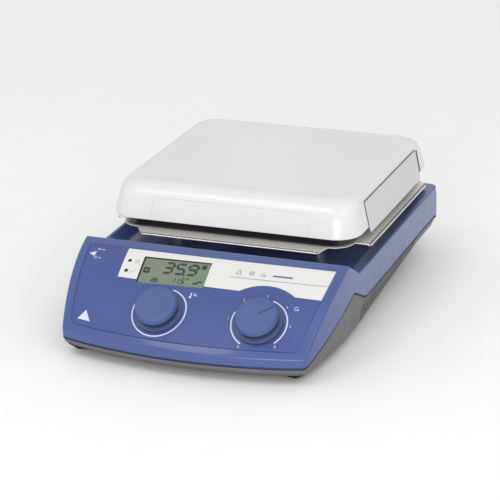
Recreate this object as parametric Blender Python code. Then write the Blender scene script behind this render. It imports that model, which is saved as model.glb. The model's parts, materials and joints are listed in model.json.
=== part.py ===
"""Heating magnetic stirrer: a square hot plate over a wedge-nosed housing with two knobs and a display.

All sizes below are in millimetres and are turned into metres where the meshes are made.
X points right, Y points to the rear, Z points up. The origin is on the bench, under the middle of the
stirrer's bounding box.
"""
import math

import bpy
import bmesh
from mathutils import Matrix, Vector

MM = 0.001

# Whole body
HALF_WIDTH = 110.0
REAR_Y = 159.0
REAR_CORNER = 8.0
FLANK_START_Y = -60.0
FLANK_RADIUS = 384.0
WALL = 2.5
GAP = 0.3

# Control panel: its side outline is an arc that starts at the ridge and steepens towards the front
RIDGE_Y = -79.3
RIDGE_Z = 70.6
PANEL_RADIUS = 150.0
PANEL_START = math.radians(17.7)
PANEL_LENGTH = 88.0
FRONT_BULGE = 14.1
KNOB_TILT = math.radians(35.0)
RIM = 7.0
INSET_TOP = 7.0
INSET_BOTTOM = 82.2
INSET_DEPTH = 1.0
FOIL = (-0.7, -0.3)

# Deck behind the ridge
VALLEY_Y = -55.7
DECK_Z = 56.0
LEDGE_Y = 137.0
LEDGE_Z = 57.8
RECESS_Z = 50.0

# Seam between the blue housing and the grey pan
SEAM_FRONT_Z = 15.0
SEAM_REAR_Z = 31.5
SEAM_PEAK = (-68.0, 46.0)
SEAM_FOOT_Y = -41.0
SEAM_GAP = 0.8
FLOOR_Z = 3.0

# Hot plate
PLATE_Y = 52.0
PLATE_TOP = 105.0
HOOD_BOTTOM = 78.0
HOOD_WALL = 3.0
TRAY_HALF = 96.9
TRAY_Z = 69.0
TRAY_SHEET = 0.8
TRAY_TABLE_Z = 82.7
FLAP_DROP = 2.9

# Controls
KNOB_S = 60.5
TEMP_KNOB_X = -22.0
SPEED_KNOB_X = 58.0
KNOB_RADIUS = 16.8
KNOB_TOP = 11.0
KNOB_GAP = 1.6
POINTER_ANGLE = math.radians(38.0)
SHAFT_RADIUS = 3.0
BOARD_TOP = 99.5
DISPLAY_X = (-50.8, 5.0)
DISPLAY_S = (14.0, 38.0)
LED_PLACES = {"led_lens_upper": (-62.6, 20.2), "led_lens_lower": (-61.8, 30.0)}

# Mains switch on the left flank
SWITCH_Y = -94.0
SWITCH_Z = 50.0
SWITCH_SLOPE = math.radians(23.0)
ROCKER_TILT = math.radians(8.0)
ROCKER_AXIS = -5.4

# Rear wall
SOCKET_Z = 42.0
INLET_X = -60.0
PROBE_X = 8.0
ROD_X = 76.0

# Drive
MOTOR_RADIUS = 31.0
CARRIER_Z = 64.0


def clear_scene():
    for thing in list(bpy.data.objects):
        bpy.data.objects.remove(thing, do_unlink=True)


def material(name, colour, roughness, metallic=0.0):
    found = bpy.data.materials.get(name)
    if found:
        return found
    made = bpy.data.materials.new(name)
    made.use_nodes = True
    shader = made.node_tree.nodes["Principled BSDF"]
    shader.inputs["Base Color"].default_value = (*colour, 1.0)
    shader.inputs["Roughness"].default_value = roughness
    shader.inputs["Metallic"].default_value = metallic
    return made


def blue_plastic():
    return material("blue_plastic", (0.10, 0.14, 0.38), 0.4)


def knob_plastic():
    return material("knob_plastic", (0.08, 0.13, 0.38), 0.45)


def grey_plastic():
    return material("grey_plastic", (0.12, 0.12, 0.12), 0.55)


def black_plastic():
    return material("black_plastic", (0.02, 0.02, 0.02), 0.5)


def white_enamel():
    return material("white_enamel", (0.86, 0.86, 0.85), 0.15)


def panel_print():
    return material("panel_print", (0.09, 0.12, 0.33), 0.45)


def clear_pane():
    return material("clear_pane", (0.42, 0.47, 0.40), 0.1)


def steel():
    return material("steel", (0.62, 0.60, 0.57), 0.25, 1.0)


def aluminium():
    return material("aluminium", (0.70, 0.71, 0.72), 0.4, 1.0)


def rubber():
    return material("rubber", (0.03, 0.03, 0.03), 0.85)


def insulation():
    return material("insulation", (0.75, 0.72, 0.66), 0.95)


def circuit_board():
    return material("circuit_board", (0.03, 0.22, 0.10), 0.5)


def magnet_metal():
    return material("magnet_metal", (0.35, 0.35, 0.37), 0.3, 1.0)


# ---------------------------------------------------------------- mesh helpers

def add_object(name, mesh_data, surface, place=None, parent=None):
    made = bpy.data.objects.new(name, mesh_data)
    bpy.context.scene.collection.objects.link(made)
    if surface is not None:
        mesh_data.materials.append(surface)
    if place is not None:
        made.matrix_world = place
    if parent is not None:
        made.parent = parent
    return made


def finish_mesh(name, build, smooth_angle=40.0):
    bmesh.ops.remove_doubles(build, verts=build.verts, dist=0.00001)
    bmesh.ops.recalc_face_normals(build, faces=build.faces)
    data = bpy.data.meshes.new(name)
    build.to_mesh(data)
    build.free()
    data.shade_smooth()
    data.set_sharp_from_angle(angle=math.radians(smooth_angle))
    return data


def loft(name, rings, closed=False):
    """Skins a list of point rings; both ends are capped unless the rings close on themselves."""
    build = bmesh.new()
    rows = [[build.verts.new(Vector(point) * MM) for point in ring] for ring in rings]
    pairs = list(zip(rows, rows[1:]))
    if closed:
        pairs.append((rows[-1], rows[0]))
    for lower, upper in pairs:
        for i in range(len(lower)):
            j = (i + 1) % len(lower)
            build.faces.new((lower[i], lower[j], upper[j], upper[i]))
    if not closed:
        build.faces.new(rows[0][::-1])
        build.faces.new(rows[-1])
    return finish_mesh(name, build)


def turned(name, profile, sides=24, closed=False):
    """Revolves (radius, height) points about Z; a radius of 0 becomes a pole."""
    build = bmesh.new()
    rows = []
    for radius, height in profile:
        if radius == 0.0:
            rows.append([build.verts.new((0.0, 0.0, height * MM))] * sides)
            continue
        turns = [2.0 * math.pi * i / sides for i in range(sides)]
        rows.append([build.verts.new(Vector((radius * math.cos(a), radius * math.sin(a), height)) * MM)
                     for a in turns])
    pairs = list(zip(rows, rows[1:]))
    if closed:
        pairs.append((rows[-1], rows[0]))
    for lower, upper in pairs:
        for i in range(sides):
            j = (i + 1) % sides
            corners = []
            for vertex in (lower[i], lower[j], upper[j], upper[i]):
                if vertex not in corners:
                    corners.append(vertex)
            build.faces.new(corners)
    return finish_mesh(name, build)


def rounded_ring(half_x, half_y, radius, z, centre=(0.0, 0.0), steps=4):
    points = []
    corners = ((1, -1, -90.0), (1, 1, 0.0), (-1, 1, 90.0), (-1, -1, 180.0))
    for sign_x, sign_y, start in corners:
        for i in range(steps + 1):
            angle = math.radians(start + 90.0 * i / steps)
            x = sign_x * (half_x - radius) + radius * math.cos(angle)
            y = sign_y * (half_y - radius) + radius * math.sin(angle)
            points.append((centre[0] + x, centre[1] + y, z))
    return points


def block(name, low, high):
    """A box between two corners."""
    rings = []
    for z in (low[2], high[2]):
        rings.append([(low[0], low[1], z), (high[0], low[1], z), (high[0], high[1], z), (low[0], high[1], z)])
    return loft(name, rings)


def rounded_block(name, half_x, half_y, radius, low_z, high_z, centre=(0.0, 0.0)):
    return loft(name, [rounded_ring(half_x, half_y, radius, z, centre) for z in (low_z, high_z)])


def rod(name, radius, low_z, high_z, sides=20):
    return turned(name, [(0.0, low_z), (radius, low_z), (radius, high_z), (0.0, high_z)], sides)


def tube(name, outer, inner, low_z, high_z, sides=24):
    profile = [(inner, low_z), (outer, low_z), (outer, high_z), (inner, high_z)]
    return turned(name, profile, sides, closed=True)


def combine(target, tool, operation="DIFFERENCE"):
    """Cuts the tool out of the target, or joins it on; the tool itself is left out of the model."""
    tool.hide_render = True
    tool.display_type = "WIRE"
    change = target.modifiers.new(tool.name, "BOOLEAN")
    change.object = tool
    change.operation = operation
    change.solver = "EXACT"


def shift(x=0.0, y=0.0, z=0.0):
    return Matrix.Translation(Vector((x, y, z)) * MM)


# ---------------------------------------------------------------- outlines of the body

def half_width(y):
    """The body's half width: straight sides, a long arc towards the nose and rounded rear corners."""
    narrowing = max(0.0, FLANK_START_Y - y) ** 2 / (2.0 * FLANK_RADIUS)
    past = max(0.0, y - (REAR_Y - REAR_CORNER))
    corner = REAR_CORNER - math.sqrt(max(0.0, REAR_CORNER ** 2 - past ** 2))
    return HALF_WIDTH - narrowing - corner


def seam_height(y):
    """Height of the seam: level at the nose, rising under the panel's flank, then down and level."""
    nose_y = RIDGE_Y - PANEL_RADIUS * (math.sin(PANEL_START + PANEL_LENGTH / PANEL_RADIUS)
                                       - math.sin(PANEL_START))
    peak_y, peak_z = SEAM_PEAK
    if y <= nose_y:
        return SEAM_FRONT_Z
    if y <= peak_y:
        return SEAM_FRONT_Z + (peak_z - SEAM_FRONT_Z) * (y - nose_y) / (peak_y - nose_y)
    if y <= SEAM_FOOT_Y:
        return peak_z + (SEAM_REAR_Z - peak_z) * (y - peak_y) / (SEAM_FOOT_Y - peak_y)
    return SEAM_REAR_Z


def panel_outline(s):
    """Point on the panel's side outline, s millimetres of arc down from the ridge."""
    angle = PANEL_START + s / PANEL_RADIUS
    y = RIDGE_Y - PANEL_RADIUS * (math.sin(angle) - math.sin(PANEL_START))
    z = RIDGE_Z - PANEL_RADIUS * (math.cos(PANEL_START) - math.cos(angle))
    return y, z


def bulge(s, x, y):
    """How far the panel stands forward of its side outline: nothing at the flanks, most in the middle."""
    across = x / half_width(y)
    return FRONT_BULGE * max(0.0, s) / PANEL_LENGTH * (1.0 - across * across)


def panel_point(x, s, lift=0.0):
    """Point on the panel's outer face, or lift millimetres above it."""
    y, z = panel_outline(s)
    angle = PANEL_START + s / PANEL_RADIUS
    forward = bulge(s, x, y)
    return Vector((x, y - forward - lift * math.sin(angle), z + lift * math.cos(angle)))


def offset_inwards(points, distance):
    """Moves an open outline, walked from the front over the top to the rear, to its inner side."""
    moved = []
    for i, point in enumerate(points):
        before = points[max(i - 1, 0)]
        after = points[min(i + 1, len(points) - 1)]
        here = Vector(point)
        first = (here - Vector(before)) if i else (Vector(after) - here)
        second = (Vector(after) - here) if i < len(points) - 1 else first
        normal_a = Vector((first.y, -first.x)).normalized()
        normal_b = Vector((second.y, -second.x)).normalized()
        middle = (normal_a + normal_b).normalized()
        reach = distance / max(0.3, middle.dot(normal_a))
        moved.append((here.x + middle.x * reach, here.y + middle.y * reach))
    return moved


# ---------------------------------------------------------------- blue housing

def housing_solid(name, inset, below_seam):
    """The housing's outside as a solid, or its inside when inset is the wall thickness."""
    steps = 11
    arc = [panel_outline(PANEL_LENGTH * (steps - i) / steps) for i in range(steps + 1)]
    arc_s = [PANEL_LENGTH * (steps - i) / steps for i in range(steps + 1)]
    slope_z = RIDGE_Z + (DECK_Z - RIDGE_Z) * (SEAM_PEAK[0] - RIDGE_Y) / (VALLEY_Y - RIDGE_Y)
    rear = [(SEAM_PEAK[0], slope_z), (VALLEY_Y, DECK_Z), (SEAM_FOOT_Y, DECK_Z), (60.0, 56.9),
            (154.6, LEDGE_Z), (156.0, 57.2), (REAR_Y, 49.5)]
    nose = arc[0][0]
    outline = [(nose, SEAM_FRONT_Z)] + arc + rear + [(REAR_Y, SEAM_REAR_Z)]
    s_values = [PANEL_LENGTH] + arc_s + [0.0] * (len(rear) + 1)
    stations = [point[0] for point in outline]
    if inset:
        outline = offset_inwards(outline, inset)
    columns = 12
    build = bmesh.new()

    def row(y, z, s, station):
        line = []
        for i in range(columns + 1):
            across = -1.0 + 2.0 * i / columns
            x = across * (half_width(station) - inset)
            forward = FRONT_BULGE * s / PANEL_LENGTH * (1.0 - across * across)
            line.append(build.verts.new(Vector((x, y - forward, z)) * MM))
        return line

    top = [row(y, z, s, station) for (y, z), s, station in zip(outline, s_values, stations)]
    last = len(top) - 1
    for line, station in ((top[0], stations[0]), (top[last], stations[last])):
        for vertex in line:
            vertex.co.z = (seam_height(station) - below_seam) * MM
    under = {0: top[0], last: top[last]}
    for i in range(2, last - 1):
        y = outline[i][0]
        under[i] = row(y, seam_height(stations[i]) - below_seam, s_values[i], stations[i])
    for lower, upper in zip(top, top[1:]):
        for i in range(columns):
            build.faces.new((lower[i], lower[i + 1], upper[i + 1], upper[i]))
    order = sorted(under)
    for a, b in zip(order, order[1:]):
        for i in range(columns):
            build.faces.new((under[a][i], under[b][i], under[b][i + 1], under[a][i + 1]))
    for side in (0, columns):
        for a, b in zip(order, order[1:]):
            above = [top[k][side] for k in range(a, b + 1)]
            corners = [under[b][side], under[a][side]]
            loop = []
            for vertex in above + corners:
                if vertex not in loop:
                    loop.append(vertex)
            build.faces.new(loop)
    return finish_mesh(name, build, 30.0)


def recess_rings(grow):
    """The deck's recess; grow makes it larger all round, for the housing's inner side."""
    middle = 0.5 * (LEDGE_Y + VALLEY_Y)
    half = 0.5 * (LEDGE_Y - VALLEY_Y)
    centre = (0.0, middle)
    edge_x = HALF_WIDTH - 2.4
    rim_z = DECK_Z - 0.8 * grow
    return [
        rounded_ring(edge_x - 11.0 + grow, half - 9.0 + grow, 16.0, RECESS_Z - grow, centre),
        rounded_ring(edge_x + 0.4 * grow, half + grow, 8.0, rim_z, centre),
        rounded_ring(edge_x + 0.4 * grow, half + grow, 8.0, DECK_Z + 12.0, centre),
    ]


def panel_slab(name, s_low, s_high, margin, lift_low, lift_high, x_range=None):
    """A sheet that follows the panel between two lifts; margin is kept to the flanks."""
    rows, columns = 10, 12
    build = bmesh.new()
    layers = []
    for lift in (lift_low, lift_high):
        layer = []
        for j in range(rows + 1):
            s = s_low + (s_high - s_low) * j / rows
            limit = half_width(panel_outline(s)[0]) - margin
            left, right = x_range if x_range else (-limit, limit)
            line = []
            for i in range(columns + 1):
                x = left + (right - left) * i / columns
                line.append(build.verts.new(panel_point(x, s, lift) * MM))
            layer.append(line)
        layers.append(layer)
    low, high = layers
    for j in range(rows):
        for i in range(columns):
            build.faces.new((low[j][i], low[j][i + 1], low[j + 1][i + 1], low[j + 1][i]))
            build.faces.new((high[j][i], high[j + 1][i], high[j + 1][i + 1], high[j][i + 1]))
    border = [(0, i) for i in range(columns)] + [(j, columns) for j in range(rows)]
    border += [(rows, i) for i in range(columns, 0, -1)] + [(j, 0) for j in range(rows, 0, -1)]
    for (j, i), (l, k) in zip(border, border[1:] + border[:1]):
        build.faces.new((low[j][i], high[j][i], high[l][k], low[l][k]))
    return finish_mesh(name, build)


def tilted(point, tilt):
    """A frame at a point, whose Z stands out of the panel at the given tilt."""
    return Matrix.Translation(point * MM) @ Matrix.Rotation(tilt, 4, "X")


def knob_frame(x):
    return tilted(panel_point(x, KNOB_S), KNOB_TILT)


def display_frame():
    x = 0.5 * (DISPLAY_X[0] + DISPLAY_X[1])
    s = 0.5 * (DISPLAY_S[0] + DISPLAY_S[1])
    step = panel_point(x, s - 1.0) - panel_point(x, s + 1.0)
    return tilted(panel_point(x, s), math.atan2(step.z, step.y))


def led_frame(place):
    return tilted(panel_point(*place), KNOB_TILT)


def switch_frame_matrix():
    """Frame on the left flank: X runs down the slope to the front, Z points out of the flank."""
    turn = math.atan((FLANK_START_Y - SWITCH_Y) / FLANK_RADIUS)
    outward = Vector((-math.cos(turn), -math.sin(turn), 0.0))
    forward = Vector((math.sin(turn), -math.cos(turn), 0.0))
    along = forward * math.cos(SWITCH_SLOPE) - Vector((0.0, 0.0, 1.0)) * math.sin(SWITCH_SLOPE)
    across = outward.cross(along)
    turned_frame = Matrix((along, across, outward)).transposed().to_4x4()
    return Matrix.Translation(Vector((-half_width(SWITCH_Y), SWITCH_Y, SWITCH_Z)) * MM) @ turned_frame


def rear_frame(x, z=SOCKET_Z):
    """Frame on the rear wall whose Z points to the rear and whose Y points down."""
    return shift(x, REAR_Y, z) @ Matrix.Rotation(math.radians(-90.0), 4, "X")


def boss_places():
    return [(sign * 86.0, y) for y in (-36.0, 103.0) for sign in (-1, 1)]


def upper_housing():
    shell = add_object("upper_housing", housing_solid("upper_housing", 0.0, 0.0), blue_plastic())
    inside = add_object("cutter_inside", housing_solid("cutter_inside", WALL, 12.0), None)
    recess_wall = add_object("cutter_recess_wall", loft("cutter_recess_wall", recess_rings(WALL)), None)
    combine(inside, recess_wall)
    combine(shell, inside)
    recess = add_object("cutter_recess", loft("cutter_recess", recess_rings(0.0)), None)
    combine(shell, recess)
    inset_data = panel_slab("cutter_inset", INSET_TOP, INSET_BOTTOM, RIM, -INSET_DEPTH, 7.0)
    combine(shell, add_object("cutter_inset", inset_data, None))
    for i, (x, y) in enumerate(boss_places()):
        post = add_object(f"boss_{i}", rod(f"boss_{i}", 4.0, 6.0, RECESS_Z - 1.0, 12), None, shift(x, y))
        combine(shell, post, "UNION")
        name = f"cutter_pilot_{i}"
        pilot = add_object(name, rod(name, 2.0, 5.0, 24.0, 12), None, shift(x, y))
        combine(shell, pilot)
    motor_hole = rod("cutter_motor", MOTOR_RADIUS + 3.0, 40.0, 60.0, 32)
    combine(shell, add_object("cutter_motor", motor_hole, None, shift(0.0, PLATE_Y)))
    width = DISPLAY_X[1] - DISPLAY_X[0]
    height = DISPLAY_S[1] - DISPLAY_S[0]
    pane_hole = block("cutter_pane", (-0.5 * width - 0.5, -0.5 * height - 0.5, -9.0),
                      (0.5 * width + 0.5, 0.5 * height + 0.5, 4.0))
    combine(shell, add_object("cutter_pane", pane_hole, None, display_frame()))
    for name, place in LED_PLACES.items():
        hole = add_object("cutter_" + name, rod("cutter_" + name, 2.2, -9.0, 4.0, 12), None, led_frame(place))
        combine(shell, hole)
    for x in (TEMP_KNOB_X, SPEED_KNOB_X):
        name = f"cutter_shaft_{x}"
        hole = add_object(name, rod(name, 4.5, -12.0, 4.0, 16), None, knob_frame(x))
        combine(shell, hole)
    switch_hole = block("cutter_switch", (-10.7, -7.1, -8.0), (10.7, 7.1, 4.0))
    combine(shell, add_object("cutter_switch", switch_hole, None, switch_frame_matrix()))
    inlet_hole = block("cutter_inlet", (-24.5, -9.5, -8.0), (24.5, 9.5, 4.0))
    combine(shell, add_object("cutter_inlet", inlet_hole, None, rear_frame(INLET_X)))
    for name, x, radius in (("probe", PROBE_X, 7.3), ("rod", ROD_X, 9.3)):
        hole = rod(f"cutter_{name}", radius, -8.0, 4.0, 24)
        combine(shell, add_object(f"cutter_{name}", hole, None, rear_frame(x)))


# ---------------------------------------------------------------- grey base pan

# How far the pan draws in at each level of its wall: at the nose, the sides, the vents and the tail
PAN_LEVELS = {
    "seam": {"front": 0.0, "side": 0.0, "waist": 0.0, "rear": 0.0},
    "side": {"front": 1.2, "side": 1.0, "waist": 2.6, "rear": 0.8},
    "low": {"front": 6.0, "side": 3.0, "waist": 6.2, "rear": 2.0},
    "floor": {"front": 15.0, "side": 11.0, "waist": 4.5, "rear": 41.0},
}
LOW_Z = 8.0
TAIL_Y = 100.0
TAIL_RISE = 11.0


def ramp(value, start, full):
    return min(1.0, max(0.0, (value - start) / (full - start)))


def pan_height(level, station):
    """Height of a level of the pan's wall; behind TAIL_Y the underside rises to the rear."""
    seam = seam_height(station) - SEAM_GAP
    low = LOW_Z + TAIL_RISE * ramp(station, TAIL_Y, REAR_Y)
    return {"seam": seam, "side": low + 1.5 + 0.45 * (seam - low - 1.5), "low": low, "floor": FLOOR_Z}[level]


def pan_ring(level, inset):
    """One closed outline of the pan."""
    across_steps = 12
    sides = (-140.0, -125.0, -105.0, -85.0, -68.0, -55.0, -47.0, -44.0, SEAM_FOOT_Y, 0.0, 60.0, TAIL_Y,
             112.0, 125.0, 140.0, 151.0, 154.5, 157.3)
    pull = PAN_LEVELS[level]
    nose_y = panel_outline(PANEL_LENGTH)[0]
    points = []

    def place(x, y, station):
        nose_part = 0.6 * ramp(station, -110.0, -47.0) + 0.4 * ramp(station, -47.0, -44.0)
        waist = pull["waist"] * nose_part * (1.0 - 0.8 * ramp(station, TAIL_Y, 112.0))
        side_pull = inset + (pull["side"] + waist) * min(1.0, 1.4 * abs(x) / HALF_WIDTH)
        x = math.copysign(max(0.0, abs(x) - side_pull), x)
        if y < nose_y + 0.001:
            y += inset + pull["front"] - (5.0 * (x / HALF_WIDTH) ** 2 if level == "floor" else 0.0)
        elif station > TAIL_Y:
            y -= (inset + pull["rear"]) * (station - TAIL_Y) / (REAR_Y - TAIL_Y)
        points.append((x, y, pan_height(level, station)))

    for i in range(across_steps + 1):
        across = -1.0 + 2.0 * i / across_steps
        place(across * half_width(nose_y), nose_y - FRONT_BULGE * (1.0 - across * across), nose_y)
    for y in sides:
        place(half_width(y), y, y)
    for i in range(5):
        place((1.0 - 0.5 * i) * half_width(REAR_Y), REAR_Y, REAR_Y)
    for y in reversed(sides):
        place(-half_width(y), y, y)
    return points


def base_pan():
    outer = [pan_ring(level, SEAM_GAP) for level in ("floor", "low", "side", "seam")]
    inner = [pan_ring(level, SEAM_GAP + WALL) for level in ("seam", "side", "low", "floor")]
    raised = []
    for ring, lift in zip(inner, (0.0, 0.0, 1.5, WALL)):
        raised.append([(x, y, z + lift) for x, y, z in ring])
    pan = add_object("base_pan", loft("base_pan", outer + raised), grey_plastic())
    for i, (x, y) in enumerate(boss_places()):
        hole = add_object(f"cutter_screw_{i}", rod(f"cutter_screw_{i}", 2.3, 0.0, 5.9, 12), None, shift(x, y))
        combine(pan, hole)
    slots = 20
    pitch = 6.9
    build = bmesh.new()
    for i in range(slots):
        y = -37.4 + pitch * i
        for side in (-1, 1):
            centre = Vector((side * 103.0, y, 12.5)) * MM
            grown = bmesh.ops.create_cube(build, size=1.0)["verts"]
            bmesh.ops.scale(build, vec=Vector((22.0, 2.8, 12.0)) * MM, verts=grown)
            bmesh.ops.translate(build, vec=centre, verts=grown)
    data = bpy.data.meshes.new("cutter_vents")
    build.to_mesh(data)
    build.free()
    combine(pan, add_object("cutter_vents", data, None))


def feet_and_screws():
    outline = [(0.0, 0.0), (8.0, 0.0), (9.0, 1.0), (9.0, FLOOR_Z - GAP), (0.0, FLOOR_Z - GAP)]
    foot = turned("rubber_foot", outline, 24)
    screw = turned("housing_screw", [(0.0, 0.9), (3.2, 0.9), (3.6, 1.4), (3.6, FLOOR_Z - GAP),
                                     (1.6, FLOOR_Z - GAP), (1.6, 22.0), (0.0, 22.6)], 14)
    feet = [(sign * 72.0, y) for y in (-125.0, 98.0) for sign in (-1, 1)]
    for i, (x, y) in enumerate(feet, 1):
        add_object(f"rubber_foot_{i}", foot, rubber() if i == 1 else None, shift(x, y))
    for i, (x, y) in enumerate(boss_places(), 1):
        add_object(f"housing_screw_{i}", screw, steel() if i == 1 else None, shift(x, y))


# ---------------------------------------------------------------- control panel

def panel_foil():
    foil = add_object("panel_foil", panel_slab("panel_foil", INSET_TOP + 0.4, INSET_BOTTOM - 0.4,
                                               RIM + 0.4, *FOIL), panel_print())
    window_hole = panel_slab("cutter_foil_window", DISPLAY_S[0], DISPLAY_S[1], 0.0, -1.2, 1.2, DISPLAY_X)
    combine(foil, add_object("cutter_foil_window", window_hole, None))
    for name, place in LED_PLACES.items():
        hole = rod("cutter_foil_" + name, 1.9, -5.0, 3.0, 12)
        combine(foil, add_object("cutter_foil_" + name, hole, None, led_frame(place)))
    for x in (TEMP_KNOB_X, SPEED_KNOB_X):
        hole = rod(f"cutter_foil_{x}", 5.0, -6.0, 3.0, 20)
        combine(foil, add_object(f"cutter_foil_{x}", hole, None, knob_frame(x)))


def display():
    left, right = DISPLAY_X
    low, high = DISPLAY_S
    pane = panel_slab("display_window", low + GAP, high - GAP, 0.0, *FOIL, (left + GAP, right - GAP))
    add_object("display_window", pane, clear_pane())
    half_x = 0.5 * (right - left) - 1.0
    half_y = 0.5 * (high - low) - 0.8
    module = block("display_module", (-half_x, -half_y, -5.5), (half_x, half_y, -2.0))
    add_object("display_module", module, clear_pane(), display_frame())
    for name, place in LED_PLACES.items():
        foot = BOARD_TOP - panel_normal_distance(panel_point(*place))
        lens = turned(name, [(0.0, foot + GAP), (1.5, foot + GAP), (1.5, -0.6), (1.1, -0.2), (0.0, -0.1)], 12)
        add_object(name, lens, black_plastic(), led_frame(place))


def panel_normal_distance(point):
    """Height of a point along the knobs' common axis direction."""
    return -math.sin(KNOB_TILT) * point.y + math.cos(KNOB_TILT) * point.z


def knob_mesh(name):
    rim = KNOB_RADIUS + 0.9
    outer = [(rim, KNOB_GAP), (rim, KNOB_GAP + 1.6), (KNOB_RADIUS + 0.25, KNOB_GAP + 3.0),
             (KNOB_RADIUS, KNOB_TOP - 1.2), (KNOB_RADIUS - 0.9, KNOB_TOP - 0.3), (KNOB_RADIUS - 2.2, KNOB_TOP),
             (0.0, KNOB_TOP + 0.2)]
    hub = [(0.0, KNOB_TOP - 2.2), (SHAFT_RADIUS + GAP, KNOB_TOP - 2.2), (SHAFT_RADIUS + GAP, KNOB_GAP),
           (6.0, KNOB_GAP), (6.0, KNOB_TOP - 3.0), (KNOB_RADIUS - 2.6, KNOB_TOP - 3.0), (rim - 2.0, KNOB_GAP)]
    return turned(name, hub + outer, 40)


def knobs():
    settings = (("temp", TEMP_KNOB_X, "temp_encoder", 6.5),
                ("speed", SPEED_KNOB_X, "speed_potentiometer", 8.5))
    for label, x, body_name, half in settings:
        frame = knob_frame(x)
        axis = bpy.data.objects.new(f"{label}_axis", None)
        bpy.context.scene.collection.objects.link(axis)
        axis.matrix_world = frame
        knob = add_object(f"{label}_knob", knob_mesh(f"{label}_knob"), knob_plastic())
        knob.parent = axis
        if label == "speed":
            groove = block("cutter_pointer", (0.6, -0.35, KNOB_TOP - 0.35),
                           (KNOB_RADIUS - 1.2, 0.35, KNOB_TOP + 3.0))
            line = add_object("cutter_pointer", groove, None)
            line.parent = axis
            line.rotation_euler = (0.0, 0.0, POINTER_ANGLE)
            combine(knob, line)
        board = BOARD_TOP - panel_normal_distance(panel_point(x, KNOB_S))
        shaft = add_object(f"{label}_shaft", rod(f"{label}_shaft", SHAFT_RADIUS, board + 3.0, KNOB_TOP - 2.6, 16),
                           steel())
        shaft.parent = axis
        body_top = -5.5
        body = block(body_name, (-half, -half, board + GAP), (half, half, body_top))
        casing = add_object(body_name, body, black_plastic(), frame)
        bore = rod(f"cutter_{body_name}", SHAFT_RADIUS + 0.4, board + 2.4, body_top + 1.0, 16)
        combine(casing, add_object(f"cutter_{body_name}", bore, None, frame))


def display_board():
    """The small board behind the panel, square to the knobs' axes."""
    normal = Vector((0.0, -math.sin(KNOB_TILT), math.cos(KNOB_TILT)))
    down = Vector((0.0, -math.cos(KNOB_TILT), -math.sin(KNOB_TILT)))
    centre = normal * BOARD_TOP + down * 72.0
    frame = tilted(centre, KNOB_TILT)
    board = block("display_board", (-72.0, -34.0, -1.6), (80.0, 34.0, 0.0))
    add_object("display_board", board, circuit_board(), frame)


def ribbon_cable():
    """Flat cable from the main board up to the back of the display board."""
    path = [(-104.0, 12.0), (-104.0, 16.0), (-108.0, 20.0), (-114.0, 25.0), (-117.0, 30.0)]
    thickness = 0.9
    inner = [(y + thickness, z + 0.2) for y, z in path]
    outline = path + inner[::-1]
    rings = [[(x, y, z) for y, z in outline] for x in (-16.0, 14.0)]
    add_object("ribbon_cable", loft("ribbon_cable", rings), grey_plastic())


# ---------------------------------------------------------------- mains switch

def power_switch():
    """Rocker switch let into the left flank, with nothing standing proud of it."""
    frame = switch_frame_matrix()
    barrel = block("power_switch_frame", (-10.3, -6.7, -16.0), (10.3, 6.7, -0.4))
    casing = add_object("power_switch_frame", barrel, black_plastic(), frame)
    well = add_object("cutter_well", block("cutter_well", (-9.1, -5.2, -14.5), (9.1, 5.2, 3.0)), None, frame)
    combine(casing, well)
    axis = bpy.data.objects.new("rocker_axis", None)
    bpy.context.scene.collection.objects.link(axis)
    axis.matrix_world = frame @ shift(0.0, 0.0, ROCKER_AXIS)
    reach, half, rise = 8.4, 4.6, 2.4
    end_rise = rise + reach * math.tan(ROCKER_TILT)
    outline = [(-reach, end_rise), (-reach, -3.0), (-2.0, -6.0), (2.0, -6.0), (reach, -3.0), (reach, end_rise),
               (0.0, rise)]
    rings = [[(x, y, z) for x, z in outline] for y in (-half, half)]
    rocker = add_object("power_rocker", loft("power_rocker", rings), black_plastic())
    rocker.parent = axis
    rocker.rotation_euler = (0.0, ROCKER_TILT, 0.0)


# ---------------------------------------------------------------- hot plate

def shoulder(flat, radius, bottom_half):
    """Height to half size: a flat top, a round shoulder, then a skirt that leaves it at a tangent."""
    reach = bottom_half - flat
    fall = PLATE_TOP - radius - HOOD_BOTTOM
    lean = math.acos(radius / math.hypot(reach, fall)) - math.atan2(fall, reach)
    start_half = flat + radius * math.cos(lean)
    start_z = PLATE_TOP - radius + radius * math.sin(lean)

    def half_at(z):
        if z > start_z:
            return flat + radius * math.sin(math.acos(1.0 - (PLATE_TOP - z) / radius))
        return start_half + (start_z - z) * math.tan(lean)
    return half_at


SIDE_HALF = shoulder(92.0, 8.0, 103.9)
FRONT_HALF = shoulder(80.0, 18.5, 102.5)


def hood_ring(z, inset):
    radius = 20.5 - 2.5 * (z - HOOD_BOTTOM) / (PLATE_TOP - HOOD_BOTTOM) - inset
    return rounded_ring(SIDE_HALF(z) - inset, FRONT_HALF(z) - inset, radius, z, (0.0, PLATE_Y), 6)


def heating_plate():
    outer_levels = (HOOD_BOTTOM, 86.0, 92.5, 96.5, 99.5, 102.0, 103.8, 104.7, PLATE_TOP)
    inner_levels = (HOOD_BOTTOM, 86.0, 92.5, 96.5)
    inner = [hood_ring(z, HOOD_WALL) for z in inner_levels]
    ceiling = PLATE_TOP - 4.7
    inner.append([(x, y, ceiling) for x, y, _ in hood_ring(98.5, 2.0 * HOOD_WALL)])
    rings = inner[::-1] + [hood_ring(z, 0.0) for z in outer_levels]
    hood = add_object("heating_plate", loft("heating_plate", rings), white_enamel())
    for side in (-1, 1):
        slot = block(f"cutter_slot_{side}", (side * 104.0 - 9.0, PLATE_Y + 67.2, 70.0),
                     (side * 104.0 + 9.0, PLATE_Y + 75.5, 97.0))
        combine(hood, add_object(f"cutter_slot_{side}", slot, None))


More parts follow.
